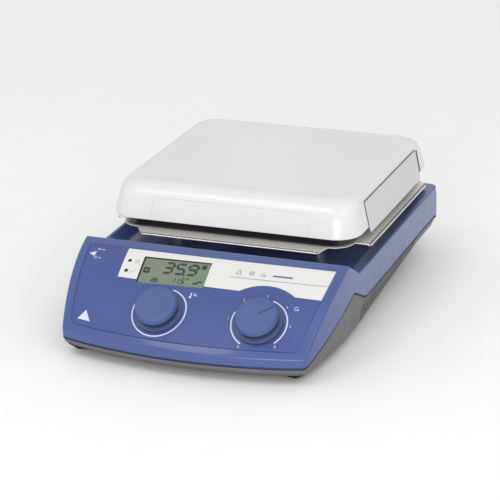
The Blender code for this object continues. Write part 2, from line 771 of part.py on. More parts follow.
def side_panels():
    """Cover strips that lie on the two flanks of the hood's skirt."""
    half_length = 66.0
    for name, sign in (("side_panel_left", -1), ("side_panel_right", 1)):
        low_z, high_z = 74.6, 100.2
        rings = []
        for y in (PLATE_Y - half_length, PLATE_Y + half_length):
            profile = []
            for z, lift in ((low_z, GAP), (98.0, GAP), (98.0, 1.5), (low_z, 1.5)):
                reach = SIDE_HALF(z) + lift
                profile.append((sign * reach, y, z if z < 98.0 else high_z - 1.0))
            rings.append(profile)
        add_object(name, loft(name, rings), white_enamel())


def sheet_ring(half, radius, z):
    return rounded_ring(half, half, radius, z, (0.0, PLATE_Y), 5)


def support_tray():
    """Steel sheet: a raised table under the insulation, a flange round it and four turned-down flaps."""
    low, high = TRAY_Z, TRAY_Z + TRAY_SHEET
    table_low, table_high = TRAY_TABLE_Z, TRAY_TABLE_Z + TRAY_SHEET
    rings = [
        sheet_ring(84.0, 8.0, table_low), sheet_ring(85.6, 9.0, low), sheet_ring(TRAY_HALF, 16.4, low),
        sheet_ring(TRAY_HALF, 16.4, high), sheet_ring(86.4, 9.8, high), sheet_ring(84.8, 8.8, table_high),
    ]
    tray = add_object("support_tray", loft("support_tray", rings), steel())
    flaps = ((0.0, 8.3, 73.3), (90.0, 11.7, 71.0), (180.0, 8.3, 73.3), (270.0, 11.7, 71.0))
    for i, (turn, reach, half_low) in enumerate(flaps):
        half_top = 80.5
        start = TRAY_HALF - 1.5
        end = TRAY_HALF + reach
        lower = [(-half_top, -start, low), (half_top, -start, low), (half_top, -TRAY_HALF, low),
                 (half_low, -end, low - FLAP_DROP), (-half_low, -end, low - FLAP_DROP), (-half_top, -TRAY_HALF, low)]
        rings = [lower, [(x, y, z + TRAY_SHEET) for x, y, z in lower]]
        place = shift(0.0, PLATE_Y) @ Matrix.Rotation(math.radians(turn), 4, "Z")
        flap = add_object(f"tray_flap_{i}", flap_mesh(f"tray_flap_{i}", rings), None, place)
        combine(tray, flap, "UNION")


def flap_mesh(name, rings):
    """Two folded layers joined at their edges; each layer is a flat strip and a slanted one."""
    build = bmesh.new()
    low, high = [[build.verts.new(Vector(point) * MM) for point in ring] for ring in rings]
    for layer in (low, high):
        build.faces.new((layer[0], layer[1], layer[2], layer[5]))
        build.faces.new((layer[5], layer[2], layer[3], layer[4]))
    for i in range(6):
        j = (i + 1) % 6
        build.faces.new((low[i], low[j], high[j], high[i]))
    return finish_mesh(name, build)


def under_plate():
    place = shift(0.0, PLATE_Y)
    top = TRAY_TABLE_Z + TRAY_SHEET
    frame_rings = [sheet_ring(half, radius, z) for half, radius, z in
                   ((87.3, 10.0, TRAY_Z + TRAY_SHEET + GAP), (95.8, 18.5, TRAY_Z + TRAY_SHEET + GAP),
                    (95.8, 18.5, 83.0), (87.3, 10.0, 83.0))]
    add_object("insulation_frame", loft("insulation_frame", frame_rings, closed=True), black_plastic())
    pad = add_object("insulation_pad", rounded_block("insulation_pad", 79.0, 79.0, 8.0, top + GAP, 92.0),
                     insulation(), place)
    pocket = add_object("cutter_pocket", rod("cutter_pocket", 3.4, top - 1.0, 94.0, 16), None, place)
    combine(pad, pocket)
    add_object("plate_sensor", rod("plate_sensor", 2.8, top + GAP, 91.8, 16), steel(), place)
    heater = rounded_block("heating_element", 75.0, 75.0, 10.0, 92.3, PLATE_TOP - 4.7 - GAP)
    add_object("heating_element", heater, aluminium(), place)
    standoff = tube("plate_standoff", 5.0, 2.0, RECESS_Z + GAP, TRAY_TABLE_Z - GAP, 20)
    corners = [(x, y) for y in (-60.0, 60.0) for x in (-60.0, 60.0)]
    for i, (x, y) in enumerate(corners, 1):
        add_object(f"plate_standoff_{i}", standoff, steel() if i == 1 else None, shift(x, PLATE_Y + y))


# ---------------------------------------------------------------- magnetic drive

def drive():
    place = shift(0.0, PLATE_Y)
    plate_low = RECESS_Z + GAP
    bracket = tube("motor_bracket", 44.0, 9.8, plate_low, plate_low + 2.0, 40)
    add_object("motor_bracket", bracket, steel(), place)
    add_object("rotor_bearing", tube("rotor_bearing", 9.5, 3.4, plate_low, plate_low + 5.0, 24), steel(), place)
    body = [(0.0, 10.0), (MOTOR_RADIUS - 2.0, 10.0), (MOTOR_RADIUS, 12.0), (MOTOR_RADIUS, 47.0),
            (MOTOR_RADIUS - 3.0, RECESS_Z - GAP), (3.5, RECESS_Z - GAP), (3.5, 18.0), (0.0, 18.0)]
    add_object("motor_body", turned("motor_body", body, 36), aluminium(), place)
    axis = bpy.data.objects.new("rotor_axis", None)
    bpy.context.scene.collection.objects.link(axis)
    axis.matrix_world = place
    shaft = add_object("rotor_shaft", rod("rotor_shaft", SHAFT_RADIUS, 19.0, CARRIER_Z + 7.6, 20), steel())
    shaft.parent = axis
    top = CARRIER_Z + 10.0
    carrier = add_object("magnet_carrier", rounded_block("magnet_carrier", 49.0, 15.0, 14.0, CARRIER_Z, top),
                         aluminium())
    carrier.parent = axis
    hub = add_object("carrier_hub", rod("carrier_hub", 8.0, CARRIER_Z - 6.0, CARRIER_Z + 2.0, 24), None)
    hub.parent = axis
    combine(carrier, hub, "UNION")
    hole = rod("cutter_carrier", SHAFT_RADIUS + GAP, CARRIER_Z - 8.0, CARRIER_Z + 8.0, 20)
    bore = add_object("cutter_carrier", hole, None)
    bore.parent = axis
    combine(carrier, bore)
    for name, x in (("drive_magnet_north", 34.0), ("drive_magnet_south", -34.0)):
        pocket = add_object("cutter_" + name, rod("cutter_" + name, 11.3, top - 5.3, top + 2.0, 28), None)
        pocket.parent = axis
        pocket.location.x = x * MM
        combine(carrier, pocket)
        magnet = add_object(name, rod(name, 11.0, top - 5.0, top + 7.0, 28), magnet_metal())
        magnet.parent = axis
        magnet.location.x = x * MM


# ---------------------------------------------------------------- electronics

def electronics():
    low = 10.0
    top = low + 1.6
    add_object("main_board", block("main_board", (-80.0, -118.0, low), (80.0, 8.0, top)), circuit_board())
    spacer = rod("board_spacer", 3.0, FLOOR_Z + WALL + GAP, low - GAP, 12)
    places = [(x, y) for y in (-108.0, 0.0) for x in (-72.0, 72.0)]
    for i, (x, y) in enumerate(places, 1):
        add_object(f"board_spacer_{i}", spacer, aluminium() if i == 1 else None, shift(x, y))
    seat = top + GAP
    core = block("power_transformer", (-22.0, -19.0, seat), (22.0, 19.0, seat + 30.0))
    add_object("power_transformer", core, steel(), shift(-46.0, -34.0))
    sink = add_object("heatsink", block("heatsink", (-26.0, -14.0, seat), (26.0, 14.0, seat + 26.0)), aluminium(),
                      shift(22.0, -36.0))
    for i in range(6):
        x = -20.5 + 8.2 * i
        cut = block(f"cutter_fin_{i}", (x - 2.6, -16.0, seat + 5.0), (x + 2.6, 16.0, seat + 30.0))
        combine(sink, add_object(f"cutter_fin_{i}", cut, None, shift(22.0, -36.0)))
    can = turned("filter_capacitor", [(0.0, seat), (9.0, seat), (9.0, seat + 27.0), (8.0, seat + 28.0),
                                      (0.0, seat + 28.0)], 24)
    add_object("filter_capacitor", can, black_plastic(), shift(66.0, -40.0))


# ---------------------------------------------------------------- rear wall

def mains_inlet():
    """Inlet and fuse drawer share one moulding; the drawer slides out to the rear."""
    frame = rear_frame(INLET_X)
    face = GAP + 2.0
    flange = loft("mains_inlet", [rounded_ring(27.0, 12.0, 2.0, z, steps=2) for z in (GAP, face)])
    inlet = add_object("mains_inlet", flange, black_plastic(), frame)
    body = add_object("inlet_body", block("inlet_body", (-24.0, -9.1, -22.0), (24.0, 9.1, 1.0)), None, frame)
    combine(inlet, body, "UNION")
    socket_x = -8.5
    mouth = [rounded_ring(12.0, 8.0, 2.0, z, (socket_x, 0.0), 2) for z in (face - 17.0, face + 2.0)]
    combine(inlet, add_object("cutter_mouth", loft("cutter_mouth", mouth), None, frame))
    for i, (x, y) in enumerate(((-7.0, 2.2), (7.0, 2.2), (0.0, -2.8))):
        blade = block(f"blade_{i}", (socket_x + x - 1.0, y - 2.0, face - 18.0),
                      (socket_x + x + 1.0, y + 2.0, face - 5.0))
        combine(inlet, add_object(f"blade_{i}", blade, None, frame), "UNION")
    bay = block("cutter_bay", (9.0, -8.3, face - 22.5), (20.0, 8.3, face + 2.0))
    combine(inlet, add_object("cutter_bay", bay, None, frame))
    drawer = add_object("fuse_drawer", block("fuse_drawer", (9.3, -8.0, face - 22.0), (19.7, 8.0, face + 0.6)),
                        grey_plastic(), frame)
    trough = block("cutter_trough", (11.3, -3.4, face - 20.6), (21.0, 3.4, face - 1.6))
    combine(drawer, add_object("cutter_trough", trough, None, frame))
    fuse = rod("fuse", 2.6, face - 20.2, face - 2.2, 16)
    add_object("fuse", fuse, steel(), frame @ shift(15.6, 0.0))


def rear_sockets():
    face = 1.8
    shell = [(0.0, -12.0), (7.0, -12.0), (7.0, GAP), (9.5, GAP), (9.5, face), (4.9, face), (4.9, face - 9.0),
             (0.0, face - 9.0)]
    add_object("probe_socket", turned("probe_socket", shell, 28), black_plastic(), rear_frame(PROBE_X))
    boss = [(0.0, -20.0), (9.0, -20.0), (9.0, GAP), (11.5, GAP), (11.5, 5.0), (10.5, 6.0), (5.0, 6.0),
            (5.0, -14.0), (0.0, -14.0)]
    add_object("rod_socket", turned("rod_socket", boss, 28), steel(), rear_frame(ROD_X))


def main():
    clear_scene()
    upper_housing()
    base_pan()
    feet_and_screws()
    panel_foil()
    display()
    knobs()
    display_board()
    ribbon_cable()
    power_switch()
    heating_plate()
    side_panels()
    support_tray()
    under_plate()
    drive()
    electronics()
    mains_inlet()
    rear_sockets()


main()
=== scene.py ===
"""Looks of a heating magnetic stirrer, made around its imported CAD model.

Sizes are in millimetres and become metres where the meshes are made. X points right, Y to the rear, Z up,
and the origin is on the bench under the middle of the stirrer.
"""

import json
from math import acos, asin, atan, atan2, copysign, cos, dist, hypot, pi, radians, sin, sqrt, tan

import bmesh
import bpy
from mathutils import Matrix, Vector
from mathutils.geometry import delaunay_2d_cdt


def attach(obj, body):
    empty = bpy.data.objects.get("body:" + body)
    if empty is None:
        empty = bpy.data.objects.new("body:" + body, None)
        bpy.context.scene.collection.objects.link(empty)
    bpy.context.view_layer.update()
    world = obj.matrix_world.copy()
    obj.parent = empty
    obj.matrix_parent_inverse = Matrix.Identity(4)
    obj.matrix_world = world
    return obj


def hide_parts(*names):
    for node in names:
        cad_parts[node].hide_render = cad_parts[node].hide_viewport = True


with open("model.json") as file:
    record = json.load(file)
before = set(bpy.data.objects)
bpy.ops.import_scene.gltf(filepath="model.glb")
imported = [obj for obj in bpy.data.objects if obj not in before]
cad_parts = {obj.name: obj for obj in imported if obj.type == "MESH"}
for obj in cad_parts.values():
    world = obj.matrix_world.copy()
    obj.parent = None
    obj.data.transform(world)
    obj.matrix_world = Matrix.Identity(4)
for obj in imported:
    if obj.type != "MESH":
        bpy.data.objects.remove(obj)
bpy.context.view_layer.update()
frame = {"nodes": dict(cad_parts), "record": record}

MM = 0.001

# Body outline, as in the CAD; s runs down the control panel from the ridge
HALF_WIDTH = 110.0
REAR_Y = 159.0
FLANK_START_Y = -60.0
FLANK_RADIUS = 384.0
RIDGE_Y = -79.3
RIDGE_Z = 70.6
PANEL_RADIUS = 150.0
PANEL_START = radians(17.7)
PANEL_LENGTH = 88.0
FRONT_BULGE = 14.1
KNOB_TILT = radians(35.0)
VALLEY = (-55.7, 56.0)
LEDGE_Y = 137.0
LEDGE_Z = 57.8
RECESS_Z = 50.0
SEAM_FRONT_Z = 15.0
SEAM_REAR_Z = 31.5
SEAM_REAR_RISE = 0.009
SEAM_PEAK = (-68.5, 45.6)
SEAM_FOOT_Y = -41.0
SKIN = 2.2

# Edges of the housing
SIDE_EDGE = 2.0
NOSE_CORNER = 1.4
NOSE_FILLET = 3.4
REAR_CORNER = 8.0
RIM = 7.0
INSET_TOP = 6.9
INSET_BOTTOM = 82.4
INSET_CORNERS = (1.4, 4.5)
INSET_DEPTH = 1.0
RECESS_RIM = 2.4
RECESS_SLOPE = 0.571
RECESS_FRONT = radians(31.7)
INLET_X = -60.0
SOCKETS_X = (8.0, 76.0)
SOCKET_Z = 42.0

# Print on the control panel
FILM_LIFT = -0.7
PRINT_LIFT = -0.64
KNOB_S = 60.2
TEMP_KNOB_X = -22.0
SPEED_KNOB_X = 58.0
RING_RADIUS = 21.4
RING_WIDTH = 1.1
FIGURE_RADIUS = 24.2
FIGURE_SIZE = 2.9
FIGURE_ANGLES = (240.0, 177.0, 130.0, 86.0, 40.0, -3.0, -51.0)
POINTER_ANGLE = 38.0
KNOB_FACE_RADIUS = 15.7
KNOB_RADIUS = 16.9
KNOB_FLANGE_RADIUS = 18.6
KNOB_TOP = 10.6
KNOB_BRIM_Z = 6.9
KNOB_SIDES = 128
LABEL_CORNERS = ((-68.6, 8.0), (101.4, 7.2), (100.0, 37.3), (5.6, 35.0), (-66.4, 36.5))
LABEL_BITE = 34.2
BITE_ANGLES = (49.0, 128.5)
LCD_CORNERS = ((-52.3, 14.2), (3.6, 13.0), (5.6, 36.6), (-49.9, 38.9))
LCD_DEPTH = 0.8
LED_PLACES = ((-62.6, 20.2), (-61.8, 30.0))

# Hot plate
PLATE_Y = 52.0
PLATE_TOP = 105.0
HOOD_BOTTOM = 78.0
TRAY_HALF = 96.9
TRAY_TOP = 69.8
FLAPS = ((0.0, 8.3), (90.0, 11.7), (180.0, 8.3), (270.0, 11.7))
FLAP_DROP = 2.9
FLAP_EDGE = ((-2.3, 0.0), (-2.2, -1.1), (-1.4, -1.2), (-1.3, -0.45), (-0.3, -0.6), (0.0, -0.9), (-0.1, -1.3),
             (-0.5, -1.5), (-2.6, -1.7), (-3.0, -0.9))
STRIP_HALF = 66.0
STRIP_Z = (74.4, 98.6)
# Edges (y, y, z, z) of the black patch painted as the shade inside each side slot of the hood
SIDE_SLOT = (67.0, 72.6, 79.4, 97.6)

# Camera
CAMERA_AZIMUTH, CAMERA_ELEVATION, CAMERA_ROLL = 21.58, 20.95, -1.44
CAMERA_DISTANCE = 1685.8
CAMERA_TARGET = Vector((5.9, -20.2, 50.0))
CAMERA_LENS = 152.1


def place_object(name, data):
    made = bpy.data.objects.new(name, data)
    bpy.context.scene.collection.objects.link(made)
    return made


# ---- materials

CLOUD = (0.3, 0.7)
BUMP_DEPTH = 0.0001
COAT_ROUGHNESS = 0.08
LOOKS = {}


def make_look(key, colour, roughness, metallic=0.0, tone=0.05, tone_size=30.0, rough_spread=0.05, grain=0.05,
              grain_size=0.35, coat=0.0, name=None):
    """A surface with a slightly mottled colour, uneven gloss and a fine grain; sizes are in millimetres."""
    made = bpy.data.materials.new(name or key)
    made.use_nodes = True
    nodes, link = made.node_tree.nodes, made.node_tree.links.new
    shader = nodes["Principled BSDF"]

    def node(kind, **values):
        added = nodes.new("ShaderNode" + kind)
        for key, value in values.items():
            added.inputs[key.replace("_", " ")].default_value = value
        return added

    place = node("TexCoord")

    def noise(size, detail):
        added = node("TexNoise", Scale=1.0 / (size * MM), Detail=detail)
        link(place.outputs["Object"], added.inputs["Vector"])
        return added.outputs["Fac"]

    blend = node("ValToRGB")
    for element, position, share in zip(blend.color_ramp.elements, CLOUD, (1.0 - tone, 1.0 + tone)):
        element.position = position
        element.color = (*[min(1.0, c * share) for c in colour], 1.0)
    gloss = node("MapRange", From_Min=CLOUD[0], From_Max=CLOUD[1], To_Min=max(0.02, roughness - rough_spread),
                 To_Max=min(1.0, roughness + rough_spread))
    relief = node("Bump", Strength=grain, Distance=BUMP_DEPTH)
    shader.inputs["Metallic"].default_value = metallic
    shader.inputs["Coat Weight"].default_value = coat
    shader.inputs["Coat Roughness"].default_value = COAT_ROUGHNESS
    link(noise(tone_size, 4.0), blend.inputs["Fac"])
    link(blend.outputs["Color"], shader.inputs["Base Color"])
    link(noise(tone_size * 0.4, 6.0), gloss.inputs["Value"])
    link(gloss.outputs["Result"], shader.inputs["Roughness"])
    link(noise(grain_size, 3.0), relief.inputs["Height"])
    link(relief.outputs["Normal"], shader.inputs["Normal"])
    LOOKS[key] = made


make_look("blue_plastic", (0.046, 0.080, 0.255), 0.34, tone=0.04, grain=0.08, coat=0.5, name="blue_moulding")
make_look("panel_print", (0.048, 0.080, 0.258), 0.42, tone=0.03, grain=0.06, grain_size=0.2, name="panel_film")
make_look("knob_plastic", (0.058, 0.098, 0.265), 0.46, tone=0.04, grain=0.16, grain_size=0.25,
          name="knob_moulding")
make_look("knob_shade", (0.020, 0.034, 0.105), 0.5, grain=0.16, grain_size=0.25)
make_look("knob_flange", (0.075, 0.090, 0.190), 0.42, grain=0.14, grain_size=0.25)
make_look("grey_plastic", (0.135, 0.135, 0.138), 0.50, tone=0.06, grain=0.35, grain_size=0.45,
          name="grey_moulding")
make_look("black_plastic", (0.012, 0.012, 0.012), 0.42, tone=0.15, grain=0.2, name="black_moulding")
make_look("black_seal", (0.012, 0.009, 0.008), 0.22, tone=0.3)
make_look("white_enamel", (0.71, 0.71, 0.705), 0.20, tone=0.012, tone_size=50.0, rough_spread=0.03,
          grain_size=4.0, coat=0.08)
make_look("strip_enamel", (0.60, 0.60, 0.59), 0.38, tone=0.02, grain=0.08, grain_size=0.6)
make_look("steel", (0.80, 0.77, 0.73), 0.28, metallic=0.35, tone=0.03, tone_size=24.0, rough_spread=0.04,
          grain=0.04, grain_size=0.5, name="satin_steel")
make_look("turned_steel", (0.56, 0.56, 0.57), 0.26, metallic=1.0, grain=0.2, grain_size=0.3)
make_look("aluminium", (0.68, 0.69, 0.70), 0.40, metallic=1.0, tone=0.06, grain=0.3)
make_look("magnet_metal", (0.42, 0.42, 0.44), 0.28, metallic=1.0, tone=0.08, grain=0.12)
make_look("insulation", (0.70, 0.67, 0.60), 0.92, tone=0.14, tone_size=6.0, grain=0.8, grain_size=0.8,
          name="pressed_fibre")
make_look("circuit_board", (0.02, 0.16, 0.07), 0.35, tone=0.2, tone_size=5.0, grain=0.3)
make_look("rubber", (0.045, 0.045, 0.046), 0.82, tone=0.2, grain=0.4, grain_size=0.5)
make_look("label_white", (0.72, 0.72, 0.69), 0.40, tone=0.015, grain=0.04, grain_size=0.2)
make_look("mark_white", (0.62, 0.66, 0.86), 0.45, tone=0.03)
make_look("mark_blue", (0.10, 0.14, 0.34), 0.45)
make_look("mark_grey", (0.36, 0.37, 0.36), 0.5)
make_look("mark_dark", (0.012, 0.018, 0.015), 0.4, tone=0.2)
make_look("clear_pane", (0.175, 0.215, 0.160), 0.22, tone=0.06, tone_size=16.0, rough_spread=0.02, grain=0.02,
          coat=0.25, name="lcd_glass")
make_look("lcd_ink", (0.022, 0.040, 0.024), 0.35, tone=0.15, tone_size=4.0, grain=0.02)
# Near-black navy: painted shade inside the seam gap, in the speed knob's pointer groove and in the tray flaps'
# grooves.
make_look("painted_groove_shade", (0.020, 0.030, 0.090), 0.7, tone=0.2, grain=0.1)
# Slightly darker enamel: painted shade of the pressed outlines on the hood's skirts.
make_look("skirt_line_shade", (0.60, 0.60, 0.585), 0.3, tone=0.03)
make_look("pale_floor", (0.96, 0.96, 0.96), 0.6, tone=0.01, grain=0.02)


# ---- mesh helpers

def add_piece(name, build, look, body="housing", nodes=(), sharp=35.0, even=True):
    """Turns a bmesh in millimetres into a finished piece on a body of the frame."""
    bmesh.ops.remove_doubles(build, verts=build.verts, dist=0.004)
    bmesh.ops.recalc_face_normals(build, faces=build.faces)
    bmesh.ops.scale(build, vec=(MM, MM, MM), verts=build.verts)
    data = bpy.data.meshes.new(name)
    build.to_mesh(data)
    build.free()
    data.materials.append(LOOKS[look])
    data.shade_smooth()
    data.set_sharp_from_angle(angle=radians(sharp))
    piece = place_object(name, data)
    if even:
        weigh = piece.modifiers.new("even_shading", "WEIGHTED_NORMAL")
        weigh.keep_sharp = True
        weigh.weight = 60
    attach(piece, body)
    if nodes:
        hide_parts(*nodes)


def join_rows(build, rows, closed_rows=False, closed_ring=True):
    """Quads between neighbouring rows of vertices."""
    pairs = list(zip(rows, rows[1:]))
    if closed_rows:
        pairs.append((rows[-1], rows[0]))
    for lower, upper in pairs:
        count = len(lower) if closed_ring else len(lower) - 1
        for i in range(count):
            j = (i + 1) % len(lower)
            corners = list(dict.fromkeys((lower[i], lower[j], upper[j], upper[i])))
            if len(corners) > 2:
                build.faces.new(corners)


def make_rows(build, rings):
    return [[build.verts.new(point) for point in ring] for ring in rings]


def add_wall(build, rings, **closed):
    """Joins rings of points into a wall; returns its rows of vertices."""
    rows = make_rows(build, rings)
    join_rows(build, rows, **closed)
    return rows


def add_faces(build, points, faces):
    verts = [build.verts.new(point) for point in points]
    for face in faces:
        build.faces.new([verts[i] for i in face])


def loft(rings, closed_rows=False, build=None):
    """A closed skin over rings of points, in a new mesh or added to one."""
    build = build or bmesh.new()
    rows = add_wall(build, rings, closed_rows=closed_rows)
    if not closed_rows:
        build.faces.new(rows[0][::-1])
        build.faces.new(rows[-1])
    return build


def rounded_path(corners, steps=5):
    """A path through (u, v, radius, s) corners, each corner with a radius turned into an arc."""
    path = []
    for i, (u, v, radius, s) in enumerate(corners):
        if radius <= 0.0 or i in (0, len(corners) - 1):
            path.append((u, v, s))
            continue
        before, after = corners[i - 1], corners[i + 1]
        here = Vector((u, v))
        back = Vector(before[:2]) - here
        ahead = Vector(after[:2]) - here
        turn = pi - back.angle(ahead)
        if turn < 0.01:
            path += [(u, v, s)] * (steps + 1)
            continue
        cut = min(radius * tan(turn / 2.0), 0.49 * back.length, 0.49 * ahead.length)
        radius = cut / tan(turn / 2.0)
        start = here + back.normalized() * cut
        end = here + ahead.normalized() * cut
        middle = (back.normalized() + ahead.normalized()).normalized()
        centre = here + middle * hypot(radius, cut)
        first = start - centre
        side = copysign(1.0, first.cross(end - centre))
        s_start = s + (before[3] - s) * cut / back.length
        s_end = s + (after[3] - s) * cut / ahead.length
        for k in range(steps + 1):
            share = k / steps
            spoke = Matrix.Rotation(side * turn * share, 2) @ first
            path.append((centre.x + spoke.x, centre.y + spoke.y, s_start + (s_end - s_start) * share))
    return path


def turned(profile, sides):
    """Revolves (radius, height) points about Z."""
    build = bmesh.new()
    rows = []
    spokes = [2.0 * pi * i / sides for i in range(sides)]
    for radius, height in profile:
        count = sides if radius > 0.001 else 1
        ring = [build.verts.new((radius * cos(a), radius * sin(a), height)) for a in spokes[:count]]
        rows.append(ring * (sides // count))
    join_rows(build, rows)
    return build


def turns(start, end, count):
    """Angles in radians from start to end, which are in degrees."""
    return [radians(start + (end - start) * k / count) for k in range(count + 1)]


def between(start, end, k, count=1):
    """The point after k of count equal steps from start to end."""
    return tuple(a + (b - a) * k / count for a, b in zip(start, end))


def rounded_ring(half_x, half_y, radius, z, steps=10, straight=6):
    """A rounded rectangle round the plate's middle, with extra points along its straight sides."""
    points = []
    for sign_x, sign_y, start in ((1, -1, -90.0), (1, 1, 0.0), (-1, 1, 90.0), (-1, -1, 180.0)):
        points += [(sign_x * (half_x - radius) + radius * cos(angle),
                    PLATE_Y + sign_y * (half_y - radius) + radius * sin(angle), z)
                   for angle in turns(start, start + 90.0, steps)]
    filled = []
    for i, point in enumerate(points):
        filled.append(point)
        if i % (steps + 1) == steps:
            other = points[(i + 1) % len(points)]
            filled += [between(point, other, k, straight) for k in range(1, straight)]
    return filled


def inside(point, loops):
    """Even-odd test of a flat point against closed loops."""
    x, y = point
    hit = False
    for loop in loops:
        previous = loop[-1]
        for current in loop:
            if (current[1] > y) != (previous[1] > y):
                cross = (previous[0] - current[0]) * (y - current[1]) / (previous[1] - current[1]) + current[0]
                if x < cross:
                    hit = not hit
            previous = current
    return hit


def fill_flat(loops, spacing):
    """Triangulates the area between closed flat loops, over a grid of points."""
    points = []
    edges = []
    for loop in loops:
        start = len(points)
        points += [Vector(p) for p in loop]
        edges += [(start + i, start + (i + 1) % len(loop)) for i in range(len(loop))]
    (low_x, high_x), (low_y, high_y) = [(min(places), max(places)) for places in zip(*points)]
    for i in range(1, int((high_x - low_x) / spacing)):
        for j in range(1, int((high_y - low_y) / spacing)):
            spot = (low_x + i * spacing, low_y + j * spacing)
            if inside(spot, loops):
                points.append(Vector(spot))
    found = delaunay_2d_cdt(points, edges, [], 0, 0.0001)
    faces = []
    for face in found[2]:
        a, b, c = [found[0][i] for i in face]
        longest = max((a - b).length, (b - c).length, (c - a).length)
        if abs((b - a).cross(c - a)) > 0.03 * longest and inside((a + b + c) / 3.0, loops):
            faces.append(face)
    return found[0], faces


def subdivided(loop, step):
    """A closed flat loop with no edge longer than step."""
    points = []
    for i, point in enumerate(loop):
        other = loop[(i + 1) % len(loop)]
        count = max(1, int(dist(point, other) / step + 0.999))
        points += [between(point, other, k, count) for k in range(count)]
    return points


def with_neighbours(path):
    """Each point of an open path between the ones before and after it."""
    return zip(path[:1] + path, path, path[1:] + path[-1:])


def apart(path, gap):
    """A path without the points that lie closer than gap to the one kept before them."""
    kept = path[:1]
    for point in path[1:]:
        if dist(point, kept[-1]) > gap:
            kept.append(point)
    return kept


def rounded(point):
    return round(point[0], 3), round(point[1], 3)


def arc_loop(centre, radius, start, end, count):
    """Points on an arc; angles in degrees, with 90 pointing up the panel."""
    return [(centre[0] + radius * cos(a), centre[1] - radius * sin(a)) for a in turns(start, end, count)]


def circle_loop(centre, radius, count):
    return arc_loop(centre, radius, 0.0, 360.0, count)[:-1]


def box_loop(left, right, low, high, corner=0.0):
    if corner <= 0.0:
        return [(left, low), (right, low), (right, high), (left, high)]
    points = []
    for x, y, start in ((right - corner, low + corner, -90.0), (right - corner, high - corner, 0.0),
                        (left + corner, high - corner, 90.0), (left + corner, low + corner, 180.0)):
        points += [(x + corner * cos(a), y + corner * sin(a)) for a in turns(start, start + 90.0, 4)]
    return points


def ramp(value, start, full):
    return min(1.0, max(0.0, (value - start) / (full - start)))


def smooth_max(a, b, softness):
    near = max(softness - abs(a - b), 0.0) / softness
    return max(a, b) + near * near * softness * 0.25


# ---- body outline

def flank(y):
    """Half width of the body, without its rounded corners."""
    return HALF_WIDTH - max(0.0, FLANK_START_Y - y) ** 2 / (2.0 * FLANK_RADIUS)


def panel_outline(s):
    angle = PANEL_START + s / PANEL_RADIUS
    y = RIDGE_Y - PANEL_RADIUS * (sin(angle) - sin(PANEL_START))
    z = RIDGE_Z - PANEL_RADIUS * (cos(PANEL_START) - cos(angle))
    return y, z


def panel_s(y):
    """The panel's s at a place on its side outline."""
    angle = asin(sin(PANEL_START) - (y - RIDGE_Y) / PANEL_RADIUS)
    return (angle - PANEL_START) * PANEL_RADIUS


NOSE_Y = panel_outline(PANEL_LENGTH)[0]


def bulge(s, x, y):
    across = x / flank(y)
    return FRONT_BULGE * max(0.0, s) / PANEL_LENGTH * (1.0 - across * across)


def panel_point(x, s, lift=0.0):
    y, z = panel_outline(s)
    angle = PANEL_START + s / PANEL_RADIUS
    return Vector((x, y - bulge(s, x, y) - lift * sin(angle), z + lift * cos(angle)))


def seam_height(y):
    """The seam between housing and pan: level, up to a rounded peak, down and level again."""
    peak_y, peak_z = SEAM_PEAK
    rise = SEAM_FRONT_Z + (peak_z - SEAM_FRONT_Z) * (y - NOSE_Y) / (peak_y - NOSE_Y)
    fall = peak_z - (peak_z - SEAM_REAR_Z) * (y - peak_y) / (SEAM_FOOT_Y - peak_y)
    peak = -smooth_max(-rise, -fall, 3.0)
    if y < NOSE_Y + 8.0:
        return smooth_max(SEAM_FRONT_Z, rise, 2.0) if y > NOSE_Y - 4.0 else SEAM_FRONT_Z
    level = SEAM_REAR_Z + SEAM_REAR_RISE * (min(y, 150.0) - SEAM_FOOT_Y)
    return smooth_max(peak, level, 3.0) if y > peak_y else peak


def knob_frame(x):
    return Matrix.Translation(panel_point(x, KNOB_S)) @ Matrix.Rotation(KNOB_TILT, 4, "X")


# ---- housing

FIXED_S = 60.0
MIDDLE_START = 14.5


def panel_lines():
    """Rows of the control panel: close together where the inset's edge and corners are."""
    steps = [0.0, 0.15, 0.3, 0.5, 0.75, 1.0] + [1.3 + 0.5 * k for k in range(7)]
    inset = [INSET_TOP + step for step in steps] + [INSET_BOTTOM - step for step in steps]
    plain = [2.6, 4.2, 5.6, 6.4, 6.75, 82.55, 82.9, 83.6, 84.6, 86.0] + [12.0 + 3.2 * k for k in range(21)]
    return sorted(plain + inset, reverse=True)


PANEL_LINES = panel_lines()


def housing_profile(nose_shift, rear_shift):
    """Side outline from the lower front edge to the lower rear one; the shifts round the corners in plan."""
    nose_y = NOSE_Y + nose_shift
    last_s = panel_s(nose_y)
    nose_z = panel_outline(last_s)[1]
    corners = [(nose_y, SEAM_FRONT_Z - 0.4, 0.0, PANEL_LENGTH), (nose_y, nose_z, NOSE_FILLET, PANEL_LENGTH)]
    for s in PANEL_LINES:
        moved = s if s < FIXED_S else FIXED_S + (s - FIXED_S) * (last_s - FIXED_S) / (PANEL_LENGTH - FIXED_S)
        y, z = panel_outline(moved)
        corners.append((y, z, 0.0, s))
    corners += [(RIDGE_Y, RIDGE_Z, 4.0, 0.0), (*VALLEY, 3.5, 0.0)]
    deck = [-53.0 + 1.2 * k for k in range(10)] + [-38.0 + 8.0 * k for k in range(19)]
    deck += [118.0 + 1.5 * k for k in range(17)]
    corners += [(y, deck_height(y), 0.0, 0.0) for y in deck]
    tail = 1.0 - rear_shift / 20.0
    corners += [(142.5 + (y - 142.5) * tail, deck_height(y), 0.0, 0.0) for y in (145.0, 150.0, 153.0)]
    corners += [(155.8 - rear_shift, LEDGE_Z, 1.2, 0.0), (REAR_Y - rear_shift, 49.5, 4.0, 0.0)]
    rear = (46.0, 43.5, 41.0, 38.5, 36.0, 33.0, SEAM_REAR_Z)
    return rounded_path(corners + [(REAR_Y - rear_shift, z, 0.0, 0.0) for z in rear])


def deck_height(y):
    return VALLEY[1] + (LEDGE_Z - VALLEY[1]) * ramp(y, -40.0, 154.0)


